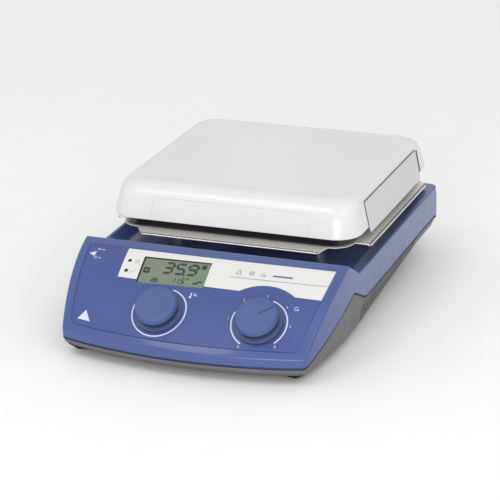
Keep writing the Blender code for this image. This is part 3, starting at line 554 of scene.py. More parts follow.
def recess_height(x, y):
    """The deck's dished floor with sloping walls and soft corners."""
    side = deck_height(y) - (flank(y) - abs(x) - RECESS_RIM) * RECESS_SLOPE
    front = VALLEY[1] - (y - VALLEY[0]) * tan(RECESS_FRONT)
    rear = LEDGE_Z - 0.3 - (LEDGE_Y - y) * 0.9
    wall = smooth_max(smooth_max(side, front, 5.0), rear, 4.0)
    return smooth_max(wall, RECESS_Z, 1.6)


def inset_drop(d, s):
    """How far the panel is sunk at a distance d from the flank."""
    from_top = s - INSET_TOP
    from_bottom = INSET_BOTTOM - s
    across, along = d - RIM, min(from_top, from_bottom)
    corner = INSET_CORNERS[0] if from_top < from_bottom else INSET_CORNERS[1]
    if across < corner and along < corner:
        depth = corner - hypot(corner - across, corner - along)
    else:
        depth = min(across, along)
    share = ramp(depth, 0.0, 0.75)
    return INSET_DEPTH * share * share * (3.0 - 2.0 * share)


def corner_shift(d, radius):
    """How far a rounded edge has drawn back at a distance d from the side."""
    return radius - sqrt(radius * radius - max(0.0, radius - d) ** 2)


def housing_column(d, side, share=None):
    """All vertices of the housing at a distance d from one flank; share places the middle columns."""
    rows = housing_profile(corner_shift(d, NOSE_CORNER), corner_shift(d, REAR_CORNER))
    points = []
    for before, (y, z, s), after in with_neighbours(rows):
        along = Vector((after[0] - before[0], after[1] - before[1]))
        along = along.normalized() if along.length > 0.0001 else Vector((0.0, 1.0))
        lift = -corner_shift(d, SIDE_EDGE - ramp(y, RIDGE_Y, -62.0))
        if 0.0 < s < PANEL_LENGTH - 0.01:
            lift -= inset_drop(d, s)
        py, pz = y - along.y * lift, z + along.x * lift
        x = flank(py) - d if share is None else (flank(py) - d) * share
        py -= bulge(s, x, y)
        if share is None:
            x = flank(max(py, NOSE_Y)) - d
        if VALLEY[0] - 4.0 < py < LEDGE_Y + 2.0 and y < 142.0:
            pz = min(pz, recess_height(x, py))
        if not points:
            pz = seam_height(py)
        points.append(Vector((side * x, py, pz)))
    return points


def vent_stations():
    """Places along the side: close pairs at both edges of every vent slot."""
    stations = [*range(-141, -126, 5), *range(-126, -77, 6), -74, *range(-72, -67), *range(-66, -49, 4), *VENT_EDGE]
    for k in range(VENTS):
        start = VENT_START + VENT_PITCH * k
        stations += [start - SLOT_HALF, start - SLOT_HALF + 0.25, start + SLOT_HALF - 0.25, start + SLOT_HALF]
    return stations + [105, 108, 109.5, 111.5, 113, *range(116, 147, 6), 149]


VENTS = 21
VENT_START = -41.5
VENT_PITCH = 6.9
SLOT_HALF = 2.2
SLOT_DEPTH = 4.5
VENT_EDGE = (-47.2, -46.8)
VENT_TAIL = (108.0, 113.0)
SEAM_GAP = 1.7
PAN_INSET = 0.2
SWITCH_Y = -94.0
SWITCH_Z = 50.0
SWITCH_SLOPE = radians(23.0)
SWITCH_HOLE = (-10.4, 10.4, -6.8, 6.8)


def switch_frame():
    """Frame on the left flank: X runs down the slope to the front, Z points out of the flank."""
    turn = atan((FLANK_START_Y - SWITCH_Y) / FLANK_RADIUS)
    outward = Vector((-cos(turn), -sin(turn), 0.0))
    forward = Vector((sin(turn), -cos(turn), 0.0))
    along = forward * cos(SWITCH_SLOPE) - Vector((0.0, 0.0, 1.0)) * sin(SWITCH_SLOPE)
    turned_frame = Matrix((along, outward.cross(along), outward)).transposed().to_4x4()
    return Matrix.Translation(Vector((-flank(SWITCH_Y), SWITCH_Y, SWITCH_Z))) @ turned_frame


def housing():
    fillet = [SIDE_EDGE * (1.0 - cos(turn)) for turn in turns(0.0, 90.0, 6)]
    rim = [2.4, 2.6, 3.2, 4.2, 5.4, 6.4, 6.85, 7.0, 7.15, 7.3, 7.5, 7.75, 8.0, 8.5, 9.0, 9.5, 10.2, 11.0, 12.0,
           13.2, MIDDLE_START]
    places = [(d, None) for d in fillet + rim] + [(MIDDLE_START, 1.0 - k / 22.0) for k in range(1, 22)]
    columns = [housing_column(d, -1.0, share) for d, share in places]
    columns += [housing_column(d, 1.0, share) for d, share in [(MIDDLE_START, 0.0)] + places[::-1]]
    build = bmesh.new()
    grid = make_rows(build, columns)
    for a, b in zip(grid, grid[1:]):
        for i in range(len(a) - 1):
            centre = (a[i].co + a[i + 1].co + b[i].co + b[i + 1].co) / 4.0
            if not hidden_under_parts(centre):
                build.faces.new((a[i], a[i + 1], b[i + 1], b[i]))
    left, right = side_wall(build, -1.0, columns[0]), side_wall(build, 1.0, columns[-1])
    loop = [column[0] for column in columns] + right + [column[-1] for column in columns[::-1]] + left[::-1]
    lip = [(0.0, 0.0), (0.25, -0.28), (SKIN, -0.28), (SKIN, 5.0)]
    outline = outline_normals(loop)
    add_wall(build, [inner_ring(outline, *place) for place in lip])
    add_piece("housing_shell", build, "blue_plastic", nodes=("upper_housing",), sharp=32.0)
    # A dark band just inside the seam gap between housing and pan: painted shade in the gap.
    shade_band = [inner_ring(outline, *place) for place in ((0.5, 0.1), (0.5, -2.1), (1.2, -2.1), (1.2, 0.1))]
    add_piece("seam_shade_band", loft(shade_band, closed_rows=True), "painted_groove_shade", even=False)
    return loop


def inner_ring(outline, inwards, rise):
    """A plan outline drawn in and raised; outline holds points and their outward directions."""
    return [Vector((p.x - n.x * inwards, p.y - n.y * inwards, p.z + rise)) for p, n in outline]


def outline_normals(loop):
    """Each point of a plan outline with its outward direction; the loop runs front, right, rear, left."""
    found = []
    count = len(loop)
    for i, point in enumerate(loop):
        before, after = i - 1, (i + 1) % count
        while (loop[before] - point).length < 0.05:
            before -= 1
        while (loop[after] - point).length < 0.05:
            after = (after + 1) % count
        along = Vector((loop[after].x - loop[before].x, loop[after].y - loop[before].y))
        found.append((point, Vector((along.y, -along.x)).normalized()))
    return found


def hidden_under_parts(centre):
    """True where the housing is open: under the display and behind the sockets' flanges."""
    if centre.y > REAR_Y - 0.6:
        inlet = abs(centre.x - INLET_X) < 23.0 and abs(centre.z - SOCKET_Z) < 9.0
        return inlet or any(hypot(centre.x - x, centre.z - SOCKET_Z) < 7.4 for x in SOCKETS_X)
    if centre.y < RIDGE_Y - 10.0 and centre.z > 40.0:
        s = 26.0
        for _ in range(4):
            s += panel_point(centre.x, s).y - centre.y
        return inside((centre.x, s), [grown(LCD_CORNERS, 2.0)])
    return False


def side_wall(build, side, edge):
    """Fills one flank between the housing's rounded upper edge and the seam; returns the seam's points."""
    clean = apart([(point.y, point.z) for point in edge], 0.02)
    stations = [y for y in vent_stations() if clean[0][0] + 1.0 < y < clean[-1][0] - 1.0]
    seam = [(y, seam_height(y)) for y in stations]
    loops = [clean + seam[::-1]]
    if side < 0:
        frame_matrix = switch_frame()
        hole = [frame_matrix @ Vector((x, y, 0.0)) for x, y in box_loop(*SWITCH_HOLE, 1.0)]
        loops.append([(p.y, p.z) for p in hole])
    spots, faces = fill_flat(loops, 5.0)
    known = {rounded(point.yz): point.x for point in edge}
    add_faces(build, [(known.get(rounded(spot), side * flank(spot.x)), *spot) for spot in spots], faces)
    if side < 0:
        inner = [p - frame_matrix.col[2].xyz * SKIN for p in hole]
        outer_hole = [Vector((side * flank(p.y), p.y, p.z)) for p in hole]
        add_wall(build, [outer_hole, inner])
    return [Vector((side * flank(y), y, z)) for y, z in seam]


# ---- base pan

FLOOR_Z = 3.0
FLOOR_END_Y = 117.0
FLOOR_DRAW_IN = 19.0


def floor_height(y):
    """Underside of the pan: level, then rising to the tail."""
    rise = FLOOR_Z + 16.0 * (y - FLOOR_END_Y) / 40.0
    return smooth_max(FLOOR_Z, rise, 3.0)


def pan_low(y):
    """Height of the pan's lower side edge: it rises along the vents and steps up at the tail."""
    vents = 8.3 + 0.056 * (y + 46.0)
    return 8.0 if y < -47.0 else vents + (19.3 - vents) * ramp(y, *VENT_TAIL)


def pan_section(point, normal):
    """Section of the pan's wall below a point of the seam, as (draw-in, height) pairs."""
    y = point.y
    front = max(0.0, -normal.y) ** 2
    side = 1.0 - front
    top = point.z - SEAM_GAP
    low = pan_low(y)
    floor = floor_height(min(y, REAR_Y - 2.0))
    vents = ramp(y, *VENT_EDGE) * (1.0 - ramp(y, *VENT_TAIL))
    slot = 0.0
    if normal.y ** 2 < 0.1:
        slot = max(ramp(SLOT_HALF - abs(y - VENT_START - VENT_PITCH * k), 0.0, 0.25) for k in range(VENTS))
    draw_low = 3.0 + 2.2 * ramp(y, -135.0, -46.0) + 2.0 * ramp(y, -46.0, 84.0) - 1.2 * ramp(y, *VENT_TAIL)
    shoulder_z = low + 0.55 * (top - low)
    side_path = [(1.0 + 0.3 * draw_low * ramp(y, -80.0, -46.0), shoulder_z, 7.0),
                 (0.62 * draw_low + 0.3, 0.5 * (shoulder_z + low), 2.0), (draw_low, low, 3.0),
                 (min(draw_low + 1.6 * (low - floor), FLOOR_DRAW_IN), floor, 4.0)]
    front_path = [(1.1, 10.2, 0.8), (3.2, 9.4, 0.5), (9.0, 4.6, 3.0), (13.0, floor, 2.0)]
    corners = [(0.0, top, 0.0, 0.0), (0.35, top, 0.0, 0.0)]
    for ahead, beside in zip(front_path, side_path):
        corners.append((*[a * front + b * side for a, b in zip(ahead, beside)], 0.0))
    corners.append((corners[-1][0] + 8.0, floor, 0.0, 0.0))
    section = []
    for draw, z, _ in rounded_path(corners, 6):
        depth = SLOT_DEPTH * slot * vents * ramp(z, shoulder_z + 0.5, shoulder_z - 0.9)
        section.append((PAN_INSET + draw + depth, z))
    return section


def base_pan(loop):
    outline = outline_normals(loop)
    sections = [pan_section(point, normal) for point, normal in outline]
    rings = [inner_ring(outline, 3.2, -6.0), inner_ring(outline, 3.0, -SEAM_GAP)]
    for level in zip(*sections):
        rings.append([Vector((point.x - normal.x * draw, point.y - normal.y * draw, z))
                      for (point, normal), (draw, z) in zip(outline, level)])
    build = bmesh.new()
    add_wall(build, rings)
    spots, faces = fill_flat([apart([(p.x, p.y) for p in rings[-1]], 0.05)], 9.0)
    known = {rounded(p.xy): p.z for p in rings[-1]}
    add_faces(build, [(*spot, known.get(rounded(spot), floor_height(spot.y))) for spot in spots], faces)
    add_piece("pan_shell", build, "grey_plastic", nodes=("base_pan",), sharp=38.0)


# ---- control panel

def add_on_panel(build, loops, lift, step, spacing):
    """Fills closed outlines in (x, s) on the panel; returns them with their added points."""
    fine = [subdivided(loop, step) for loop in loops]
    spots, faces = fill_flat(fine, spacing)
    add_faces(build, [panel_point(spot.x, spot.y, lift) for spot in spots], faces)
    return fine


def panel_sheet(name, loops, lift, look, nodes=(), spacing=5.0, thickness=0.0):
    """A film or label area that follows the panel."""
    build = bmesh.new()
    fine = add_on_panel(build, loops, lift, 2.5, spacing)
    if thickness > 0.0:
        for loop in fine:
            add_wall(build, [[panel_point(x, s, lift - drop) for x, s in loop] for drop in (0.0, thickness)])
    add_piece(name, build, look, nodes=nodes, even=False)


def panel_marks(name, groups, lift, look):
    """Several separate flat marks as one piece."""
    build = bmesh.new()
    for loops in groups:
        add_on_panel(build, loops, lift, 2.0, 5.0)
    add_piece(name, build, look, even=False)


def inset_outline(gap):
    """Outline of the sunk panel area, in (x, s)."""
    low, high = INSET_TOP + gap, INSET_BOTTOM - gap
    upper, lower = [max(0.3, corner - gap) for corner in INSET_CORNERS]
    quarter = turns(0.0, 90.0, 8)
    places = [(low + upper * (1.0 - cos(turn)), upper * (1.0 - sin(turn))) for turn in quarter]
    places += [(low + upper + (high - low - upper - lower) * k / 24.0, 0.0) for k in range(1, 24)]
    places += [(high - lower * (1.0 - sin(turn)), lower * (1.0 - cos(turn))) for turn in quarter]
    right = [(flank(panel_outline(s)[0]) - RIM - gap - inwards, s) for s, inwards in places]
    return right + [(-x, s) for x, s in reversed(right)]


def knob_spot(x, across, up):
    """The panel's (x, s) at a place measured across and up the panel from a knob's centre."""
    here = panel_point(x, KNOB_S)
    by_x = (panel_point(x + 0.1, KNOB_S) - here) / 0.1
    by_s = (panel_point(x, KNOB_S + 0.1) - here) / 0.1
    right = by_x.normalized()
    uphill = -(by_s - right * by_s.dot(right)).normalized()
    ds = up / by_s.dot(uphill)
    return x + (across - ds * by_s.dot(right)) / by_x.length, KNOB_S + ds


def knob_arc(x, radius, start, end, count=60):
    """An arc on the panel round a knob; angles in degrees, with 90 pointing up the panel."""
    return [knob_spot(x, radius * cos(a), radius * sin(a)) for a in turns(start, end, count)]


def ring_mark(x, start, end):
    outer, inner = [knob_arc(x, RING_RADIUS + half, start, end) for half in (RING_WIDTH / 2.0, -RING_WIDTH / 2.0)]
    return [outer + inner[::-1]]


def label_outline():
    """The white label round the display, with the bite of the speed knob's circle."""
    left_top, right_top, right_bottom, inner_bottom, left_bottom = LABEL_CORNERS
    bite = knob_arc(SPEED_KNOB_X, LABEL_BITE, *BITE_ANGLES, 30)
    high, low = LCD_CORNERS[0], LCD_CORNERS[3]
    lcd_left = high[0] + (low[0] - high[0]) * ((left_bottom[1] - high[1]) / (low[1] - high[1]))
    notch = [(inner_bottom[0] - 0.12, inner_bottom[1]), LCD_CORNERS[1], high, (lcd_left, left_bottom[1])]
    return [left_top, right_top, right_bottom] + bite + notch + [left_bottom]


def grown(loop, amount):
    """A convex loop moved outwards from its middle."""
    middle = sum((Vector(p) for p in loop), Vector((0.0, 0.0))) / len(loop)
    out = [Vector((copysign(amount, p[0] - middle.x), copysign(amount, p[1] - middle.y))) for p in loop]
    return [(p[0] + o.x, p[1] + o.y) for p, o in zip(loop, out)]


def lcd_spot(across, down):
    """(x, s) of a place on the display, from shares of its width and height."""
    left_top, right_top, right_bottom, left_bottom = LCD_CORNERS
    return between(between(left_top, right_top, across), between(left_bottom, right_bottom, across), down)


def stroke(points, width):
    """A mark of even width along an open path."""
    left, right = [], []
    for before, (x, s), after in with_neighbours(points):
        along = Vector((after[0] - before[0], after[1] - before[1])).normalized() * (width / 2.0)
        left.append((x - along.y, s + along.x))
        right.append((x + along.y, s - along.x))
    return [left + right[::-1]]


LCD_SIZE = (56.0, 24.5)
DIGIT_SLANT = 0.14
SEGMENTS = {"1": "bc", "3": "abgcd", "5": "afgcd", "9": "abcdfg"}
SEGMENT_ENDS = {"a": (0, 0, 1, 0), "b": (1, 0, 1, 1), "c": (1, 1, 1, 2), "d": (0, 2, 1, 2), "f": (0, 0, 0, 1),
                "g": (0, 1, 1, 1)}


def digit_marks(character, x, s, width, height, bar):
    """Seven-segment bars of one digit whose top left corner is at (x, s)."""
    tip, end = bar / 2, bar * 0.12
    marks = []
    for key in SEGMENTS[character]:
        x0, s0, x1, s1 = [n * size for n, size in zip(SEGMENT_ENDS[key], (width, height / 2.0) * 2)]
        flat = s0 == s1
        low, high, level, side = (x0, x1, s0, -tip) if flat else (s0, s1, x0, tip)
        along = (low + end, low + tip + end, high - tip - end, high - end, high - tip - end, low + tip + end)
        beside = (level, level + side, level + side, level, level - side, level - side)
        bars = zip(along, beside) if flat else zip(beside, along)
        marks.append([[(x + px + DIGIT_SLANT * (height - ps), s + ps) for px, ps in bars]])
    return marks


def on_lcd(loops):
    """Moves flat marks, drawn in millimetres from the display's top left corner, onto the display."""
    return [[lcd_spot(x / LCD_SIZE[0], y / LCD_SIZE[1]) for x, y in loop] for loop in loops]


def display():
    depth = FILM_LIFT - LCD_DEPTH
    nodes = ("display_window", "display_module")
    panel_sheet("lcd_face", [grown(LCD_CORNERS, 1.0)], depth, "clear_pane", nodes, spacing=4.0)
    # The display's recess walls, coloured near black as painted shade.
    walls = bmesh.new()
    add_wall(walls, [[panel_point(x, s, lift) for x, s in subdivided(LCD_CORNERS, 2.5)]
                     for lift in (FILM_LIFT + 0.02, depth - 0.05)])
    add_piece("lcd_recess_shade", walls, "mark_dark", even=False)
    marks = []
    for character, x in (("3", 18.6), ("5", 28.4), ("9", 38.4)):
        marks += digit_marks(character, x, 3.4, 6.8, 9.6, 2.0)
    marks.append([circle_loop((36.4, 13.4), 1.0, 12)])
    for character, x in (("1", 27.6), ("1", 30.8), ("5", 35.4)):
        marks += digit_marks(character, x, 17.0, 2.9, 4.4, 0.85)
    marks += [[circle_loop((40.8, 17.1), 0.95, 16), circle_loop((40.8, 17.1), 0.45, 16)],
              [box_loop(2.4, 7.8, 9.6, 14.8, 0.9), circle_loop((5.1, 12.2), 1.0, 16)],
              [box_loop(49.0, 52.8, 2.4, 6.4, 0.6)]]
    marks += [[box_loop(12.2 - 0.6 * k, 16.4 + 0.6 * k, 18.6 + 1.4 * k, 19.4 + 1.4 * k)] for k in range(3)]
    marks.append(stroke([(46.0, 20.6), (48.6, 20.5), (50.4, 18.8), (53.0, 19.0)], 1.5))
    panel_marks("lcd_figures", [on_lcd(loops) for loops in marks], depth + 0.12, "lcd_ink")
    border = [grown(LCD_CORNERS, 0.9), [lcd_spot(*place) for place in box_loop(0.022, 0.992, 0.02, 0.985)]]
    panel_marks("lcd_border", [border], depth + 0.1, "lcd_ink")


def panel():
    shafts = [knob_arc(x, 5.0, 0.0, 348.75, 31) for x in (TEMP_KNOB_X, SPEED_KNOB_X)]
    panel_sheet("panel_film", [inset_outline(0.75), LCD_CORNERS] + shafts, FILM_LIFT, "panel_print",
                nodes=("panel_foil",), thickness=0.4)
    panel_sheet("panel_label", [label_outline()], PRINT_LIFT, "label_white")
    rings = [ring_mark(TEMP_KNOB_X, 79.0, -196.0), ring_mark(SPEED_KNOB_X, 71.0, -49.0),
             ring_mark(SPEED_KNOB_X, 159.0, 239.0)]
    panel_marks("knob_rings", rings, PRINT_LIFT, "mark_white")
    icons = [[[(-99.0, 18.2), (-93.4, 15.4), (-93.4, 20.8)]], [[(-82.0, 68.8), (-87.6, 77.0), (-76.2, 77.2)]]]
    for s in (12.9, 21.7):
        icons.append([circle_loop((-92.2, s), 1.15, 20), circle_loop((-92.2, s), 0.75, 20)])
        icons.append([box_loop(-90.0, -87.2, s - 0.3, s + 0.3)])
    icons += thermometer_mark(-1.6, 43.8) + spin_mark(82.5, 46.2)
    panel_marks("panel_icons", icons, PRINT_LIFT, "mark_white")
    lower = [stroke([(22.0, 23.6), (99.4, 23.6)], 0.4), *flask_mark(28.0, 18.2), *heat_mark(38.0, 18.2),
             *spin_mark(47.5, 18.6), [box_loop(55.0, 71.0, 18.0, 19.6, 0.7)]]
    panel_marks("label_marks", lower, PRINT_LIFT + 0.05, "mark_blue")
    greys = heat_mark(-56.4, 20.2) + [stroke([(-58.2, 31.4), (-56.2, 29.6), (-55.4, 29.9), (-53.6, 28.2)], 0.55)]
    panel_marks("led_marks", greys, PRINT_LIFT + 0.05, "mark_grey")
    dots = [[circle_loop(place, 1.55, 28)] for place in LED_PLACES]
    panel_marks("led_windows", dots, PRINT_LIFT + 0.06, "mark_dark")
    figures()


def thermometer_mark(x, s):
    return [[box_loop(x - 0.5, x + 0.5, s - 2.2, s + 1.0, 0.4)], [circle_loop((x, s + 1.6), 1.0, 18)],
            [box_loop(x + 2.0, x + 5.0, s - 0.3, s + 0.3)], [box_loop(x + 2.0, x + 4.2, s - 1.6, s - 1.0)]]


def spin_mark(x, s):
    """A round arrow."""
    arc = arc_loop((x, s), 1.5, 40.0, 320.0, 20)
    tip = arc[-1]
    head = [(tip[0] - 0.8, tip[1] - 0.1), (tip[0] + 0.8, tip[1] + 0.7), (tip[0] + 0.5, tip[1] - 1.1)]
    return [stroke(arc, 0.4), [head]]


def heat_mark(x, s):
    return [stroke([(x + k + 0.45 * sin(t * 1.2), s - 2.0 + 0.5 * t) for t in range(9)], 0.45)
            for k in (-1.5, 0.0, 1.5)]


def flask_mark(x, s):
    return [[[(x + dx, s + ds) for dx, ds in
              ((-neck, -tall), (neck, -tall), (neck, waist), (foot, tall), (-foot, tall), (-neck, waist))]
             for neck, tall, waist, foot in ((0.7, 2.2, -0.8, 2.4), (0.3, 1.8, -0.6, 1.7))]]


def figures():
    """Dial figures 0 to 6 round the speed knob."""
    build = bmesh.new()
    for k, angle in enumerate(FIGURE_ANGLES):
        curve = bpy.data.curves.new(f"figure_{k}", "FONT")
        curve.body = str(k)
        curve.size = FIGURE_SIZE
        curve.align_x = curve.align_y = "CENTER"
        text = place_object(f"figure_{k}", curve)
        bpy.context.view_layer.update()
        shape = bpy.data.meshes.new_from_object(text)
        x, s = knob_arc(SPEED_KNOB_X, FIGURE_RADIUS, angle, angle, 1)[0]
        for vertex in shape.vertices:
            vertex.co = panel_point(x + vertex.co.x, s - vertex.co.y, PRINT_LIFT)
        build.from_mesh(shape)
        bpy.data.objects.remove(text)
        bpy.data.meshes.remove(shape)
    add_piece("scale_figures", build, "mark_white", even=False)


def knobs():
    """Each knob is a pale cap, a dark neck and a flat flange on the panel; all three turn with the control."""
    face, wide, top, brim = KNOB_FACE_RADIUS, KNOB_RADIUS, KNOB_TOP, KNOB_BRIM_Z
    cap = [(0.0, top, 0.0, 0.0), (face - 3.0, top - 0.1, 8.0, 0.0), (face, top - 0.35, 0.7, 0.0),
           (wide, brim, 0.6, 0.0), (wide - 0.4, brim - 0.6, 0.3, 0.0), (wide - 1.4, brim - 0.7, 0.1, 0.0),
           (wide - 1.4, brim + 1.0, 0.0, 0.0), (0.0, brim + 1.0, 0.0, 0.0)]
    neck = [(wide - 1.6, brim, 0.0, 0.0), (wide - 1.3, 1.0, 0.0, 0.0), (5.2, 1.0, 0.0, 0.0), (5.2, brim, 0.0, 0.0),
            (wide - 1.6, brim, 0.0, 0.0)]
    flange = [(wide - 1.3, 1.5, 0.2, 0.0), (KNOB_FLANGE_RADIUS - 0.3, 1.2, 0.4, 0.0),
              (KNOB_FLANGE_RADIUS, 0.1, 0.2, 0.0), (wide - 1.3, 0.1, 0.1, 0.0), (wide - 1.3, 1.5, 0.0, 0.0)]
    parts = (("cap", cap, "knob_plastic"), ("neck", neck, "knob_shade"), ("flange", flange, "knob_flange"))
    for label, x in (("temp", TEMP_KNOB_X), ("speed", SPEED_KNOB_X)):
        for part, corners, look in parts:
            build = turned([(r, z) for r, z, _ in rounded_path(corners)], KNOB_SIDES)
            bmesh.ops.transform(build, matrix=knob_frame(x), verts=build.verts)
            nodes = (f"{label}_knob",) if part == "cap" else ()
            add_piece(f"{label}_knob_{part}", build, look, f"{label}_control", nodes, sharp=40.0)
    # The speed knob's pointer: a flat dark line on the cap, painted as the shade of a pointer groove.
    build = bmesh.new()
    half, reach = 0.32, face - 0.6
    line = [(0.8, -half), (reach - 0.3, -half), (reach, 0.0), (reach - 0.3, half), (0.8, half)]
    add_faces(build, [(x, y, top + 0.04) for x, y in line], [range(len(line))])
    turn = Matrix.Rotation(radians(POINTER_ANGLE), 4, "Z")
    bmesh.ops.transform(build, matrix=knob_frame(SPEED_KNOB_X) @ turn, verts=build.verts)
    add_piece("speed_pointer", build, "painted_groove_shade", "speed_control", even=False)


# ---- hot plate

def shoulder(flat, radius, bottom_half):
    """Height to half size: a flat top, a round shoulder, then a skirt that leaves it at a tangent."""
    reach = bottom_half - flat
    fall = PLATE_TOP - radius - HOOD_BOTTOM
    lean = acos(radius / hypot(reach, fall)) - atan2(fall, reach)
    start_half = flat + radius * cos(lean)
    start_z = PLATE_TOP - radius + radius * sin(lean)

    def half_at(z):
        if z > start_z:
            return flat + radius * sin(acos(1.0 - max(0.0, PLATE_TOP - z) / radius))
        return start_half + (start_z - z) * tan(lean)
    return half_at


TOP_HALF = (92.0, 80.0)
SHOULDER = 18.5
SIDE_HALF = shoulder(TOP_HALF[0], 8.0, 103.9)
FRONT_HALF = shoulder(TOP_HALF[1], SHOULDER, 102.5)


def hood_ring(z, inset=0.0):
    """The hood's outline at a height, or inside of it; below the skirt's rounded edge it stays the same."""
    at = max(z, HOOD_BOTTOM + 0.3) if inset else z
    radius = 20.5 - 2.5 * ramp(at, HOOD_BOTTOM, 84.0) - inset
    return rounded_ring(SIDE_HALF(at) - inset, FRONT_HALF(at) - inset, radius, z, steps=14, straight=14)


def hood():
    """Rings from the middle of the top, over the shoulder, down the skirt and up inside it."""
    top = ((40.0, 0.35), (12.0, 0.35), (3.4, 0.35), (2.6, 0.30), (1.9, 0.12), (1.3, 0.03), (0.6, 0.0))
    half_x, half_y = TOP_HALF
    rings = [rounded_ring(half_x - inset, half_y - inset, max(4.0, 18.0 - inset), PLATE_TOP - drop, steps=14,
                          straight=14) for inset, drop in top]
    rings += [hood_ring(PLATE_TOP - SHOULDER * (1.0 - cos(radians(2.7 * k)))) for k in range(27)]
    rings += [hood_ring(z) for z in (91.0, 88.0, 85.0, 82.0, 80.0, 78.7)]
    rings += [hood_ring(*place) for place in
              ((78.25, 0.12), (78.05, 0.4), (78.0, 0.8), (78.0, 1.6), (78.1, 2.2), (78.5, 2.6), (80.0, 2.8),
               (90.0, 3.0), (96.0, 3.2), (99.5, 5.5), (100.3, 9.0))]
    add_piece("plate_hood", loft(rings), "white_enamel", nodes=("heating_plate",), sharp=40.0)
    skirt_lines()


def skirt_lines():
    """Faint darker lines painted on the front and rear skirts as the shade of their pressed outlines."""
    build = bmesh.new()
    wide, low, high, half = 66.0, 80.2, 95.5, 0.275
    for side in (-1.0, 1.0):
        for x0, z0, x1, z1 in ((-wide, high, wide, high), (-wide, low, -wide, high), (wide, low, wide, high)):
            rows = []
            for k in range(9):
                x, z = between((x0, z0), (x1, z1), k, 8)
                spots = [(x, z + e) if z0 == z1 else (x + e, z) for e in (-half, half)]
                rows.append([(px, PLATE_Y + side * (FRONT_HALF(pz) + 0.06), pz) for px, pz in spots])
            add_wall(build, rows, closed_ring=False)
    add_piece("skirt_outline_shade", build, "skirt_line_shade", even=False)


def side_ring(sign, lift, spots):
    """Points beside the hood's skirt, at (y, z) spots measured along the hood."""
    return [Vector((sign * (SIDE_HALF(z) + lift), PLATE_Y + y, z)) for y, z in spots]


def cover_strips():
    """A strip on each flank of the hood, over a dark gap, and a black patch behind the strip, painted as the shade
    inside a slot.
    """
    low, high = STRIP_Z
    for name, sign in (("left", -1.0), ("right", 1.0)):
        for part, grow, layers, look in (("gap", 0.75, ((0.05, 0.0), (0.25, 0.0)), "mark_dark"),
                                         ("cover", 0.0, ((0.3, 0.0), (1.1, 0.0), (1.4, 0.15), (1.5, 0.5)),
                                          "strip_enamel")):
            bottom = low if part == "cover" and sign > 0.0 else HOOD_BOTTOM + 0.9
            half_y, half_z = STRIP_HALF + grow, (high + grow - bottom) / 2.0
            outline = subdivided(box_loop(-half_y, half_y, -half_z, half_z, 0.6), 6.0)
            rings = [side_ring(sign, lift, [(y * (1.0 - inset / half_y), bottom + half_z + z * (1.0 - inset / half_z))
                                            for y, z in outline]) for lift, inset in layers]
            nodes = (f"side_panel_{name}",) if part == "cover" else ()
            add_piece(f"{part}_{name}", loft(rings), look, nodes=nodes)
        # Black patch lifted just off the skirt: painted shade inside the slot.
        slot = subdivided(box_loop(*SIDE_SLOT, 0.5), 4.0)
        add_piece(f"slot_{name}", loft([side_ring(sign, lift, slot) for lift in (0.04, 0.16)]), "black_plastic")


def tray():
    """Polished sheet: flange, raised table and four folded flaps with a small lip."""
    sheet = 0.8
    rings = [rounded_ring(half, half, radius, z) for half, radius, z in
             ((84.0, 8.0, 82.7), (85.6, 9.0, TRAY_TOP - sheet), (TRAY_HALF, 16.4, TRAY_TOP - sheet),
              (TRAY_HALF + 0.15, 16.5, TRAY_TOP - sheet / 2.0), (TRAY_HALF, 16.4, TRAY_TOP - 0.05),
              (96.6, 16.2, TRAY_TOP), (87.4, 10.4, TRAY_TOP), (86.4, 9.8, TRAY_TOP + 1.0), (84.8, 8.8, 83.5))]
    build = loft(rings)
    groove_shades = bmesh.new()
    for turn, reach in FLAPS:
        place = Matrix.Translation(Vector((0.0, PLATE_Y, 0.0))) @ Matrix.Rotation(radians(turn), 4, "Z")
        fall = FLAP_DROP * (reach - 2.3) / reach
        section = [(-1.5, -0.1), (-0.1, -0.06), (0.6, -0.2)]
        section += [(reach + out, drop - fall) for out, drop in FLAP_EDGE] + [(0.2, -0.9), (-1.5, -sheet)]
        # A dark strip along each flap's groove, painted as the groove's shade.
        groove = [(reach - 2.25, -fall - 0.35), (reach - 1.35, -fall - 0.55)]

        def rows(line, half_at):
            return [[place @ Vector(((k / 6.0 - 1.0) * half_at(out), -(TRAY_HALF + out), TRAY_TOP + drop))
                     for out, drop in line] for k in range(13)]

        loft(rows(section, lambda out: 80.5 - 7.5 * ramp(out, 0.0, reach)), build=build)
        add_wall(groove_shades, rows(groove, lambda out: 80.5 - 7.5 * (reach - 1.8) / reach), closed_ring=False)
    add_piece("tray_sheet", build, "steel", nodes=("support_tray",), sharp=30.0)
    add_piece("tray_groove_shade", groove_shades, "painted_groove_shade", even=False)


def seal_frame():
    half, corner = 95.8, 19.0
    rings = [rounded_ring(half - drop, half - drop, corner - drop, z) for z, drop in
             ((70.1, 0.6), (70.4, 0.1), (71.0, 0.0), (78.5, 0.0), (82.6, 0.4), (83.0, 1.0))]
    rings += [rounded_ring(87.3, 87.3, 10.0, z) for z in (83.0, 70.1)]
    add_piece("seal_frame", loft(rings, closed_rows=True), "black_seal", nodes=("insulation_frame",))


# ---- carried-over parts, floor, light, camera

def dress_cad_nodes():
    """Gives each CAD node that stays the finish of its record slot."""
    slots = {entry["node"]: entry["material_slot"] for entry in frame["record"]["subparts"]}
    turned_parts = ("rod_socket", "housing_screw", "plate_standoff", "rotor", "temp_shaft", "speed_shaft", "fuse")
    for name, piece in frame["nodes"].items():
        look = slots[name]
        if look == "steel" and name.startswith(turned_parts):
            look = "turned_steel"
        for slot in piece.material_slots:
            slot.material = LOOKS[look]


def floor():
    data = bpy.data.meshes.new("floor")
    data.from_pydata([(x, y, 0.0) for x, y in box_loop(-6.0, 6.0, -6.0, 6.0)], [], [range(4)])
    data.materials.append(LOOKS["pale_floor"])
    stage = place_object("floor", data)


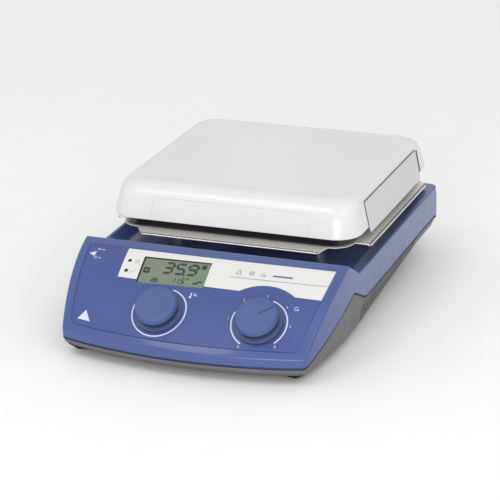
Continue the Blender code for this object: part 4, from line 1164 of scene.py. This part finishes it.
# Name, place, aim, size (metres) and power (watts)
LAMPS = (("key_right", (1.15, -1.15, 0.62), (0.0, -0.02, 0.06), (0.9, 0.6), 2.2),
         ("fill_front", (0.5, -2.2, 0.7), (0.0, 0.0, 0.06), (1.4, 0.8), 14.5),
         ("top_right", (0.80, -0.75, 1.40), (0.05, 0.0, 0.06), (0.8, 0.8), 2.5),
         ("panel_sheen", (-0.50, -0.70, 1.60), (0.0, -0.12, 0.04), (0.6, 0.6), 3.0),
         ("top_reflection", (-0.592, 1.554, 0.645), (-0.009, 0.050, 0.105), (0.098, 0.062), 0.012))
WORLD_STRENGTH = 0.78


def lights():
    world = bpy.data.worlds.new("studio")
    world.use_nodes = True
    backdrop = world.node_tree.nodes["Background"]
    backdrop.inputs["Color"].default_value = (1.0, 1.0, 1.0, 1.0)
    backdrop.inputs["Strength"].default_value = WORLD_STRENGTH
    bpy.context.scene.world = world
    for name, place, aim, size, power in LAMPS:
        data = bpy.data.lights.new(name, "AREA")
        data.shape = "RECTANGLE"
        data.size, data.size_y = size
        data.energy = power
        lamp = place_object(name, data)
        lamp.location = place
        lamp.rotation_euler = (Vector(aim) - Vector(place)).to_track_quat("-Z", "Y").to_euler()
        lamp.visible_glossy = name != "key_right"


def camera():
    lens = bpy.data.cameras.new("camera")
    lens.lens = CAMERA_LENS
    lens.sensor_width = 36.0
    lens.clip_start = 0.05
    lens.clip_end = 30.0
    eye = place_object("camera", lens)
    azimuth, elevation, roll = [radians(a) for a in (CAMERA_AZIMUTH, CAMERA_ELEVATION, CAMERA_ROLL)]
    back = Vector((sin(azimuth) * cos(elevation), -cos(azimuth) * cos(elevation), sin(elevation)))
    right = Vector((cos(azimuth), sin(azimuth), 0.0))
    up = back.cross(right)
    axes = (right * cos(roll) + up * sin(roll), up * cos(roll) - right * sin(roll), back)
    turn = Matrix(axes).transposed().to_4x4()
    eye.matrix_world = Matrix.Translation((CAMERA_TARGET + back * CAMERA_DISTANCE) * MM) @ turn
    bpy.context.scene.camera = eye
    bpy.context.scene.view_settings.view_transform = "Standard"


def main():
    camera()
    lights()
    floor()
    dress_cad_nodes()
    seam = housing()
    base_pan(seam)
    panel()
    display()
    knobs()
    hood()
    cover_strips()
    tray()
    seal_frame()


main()
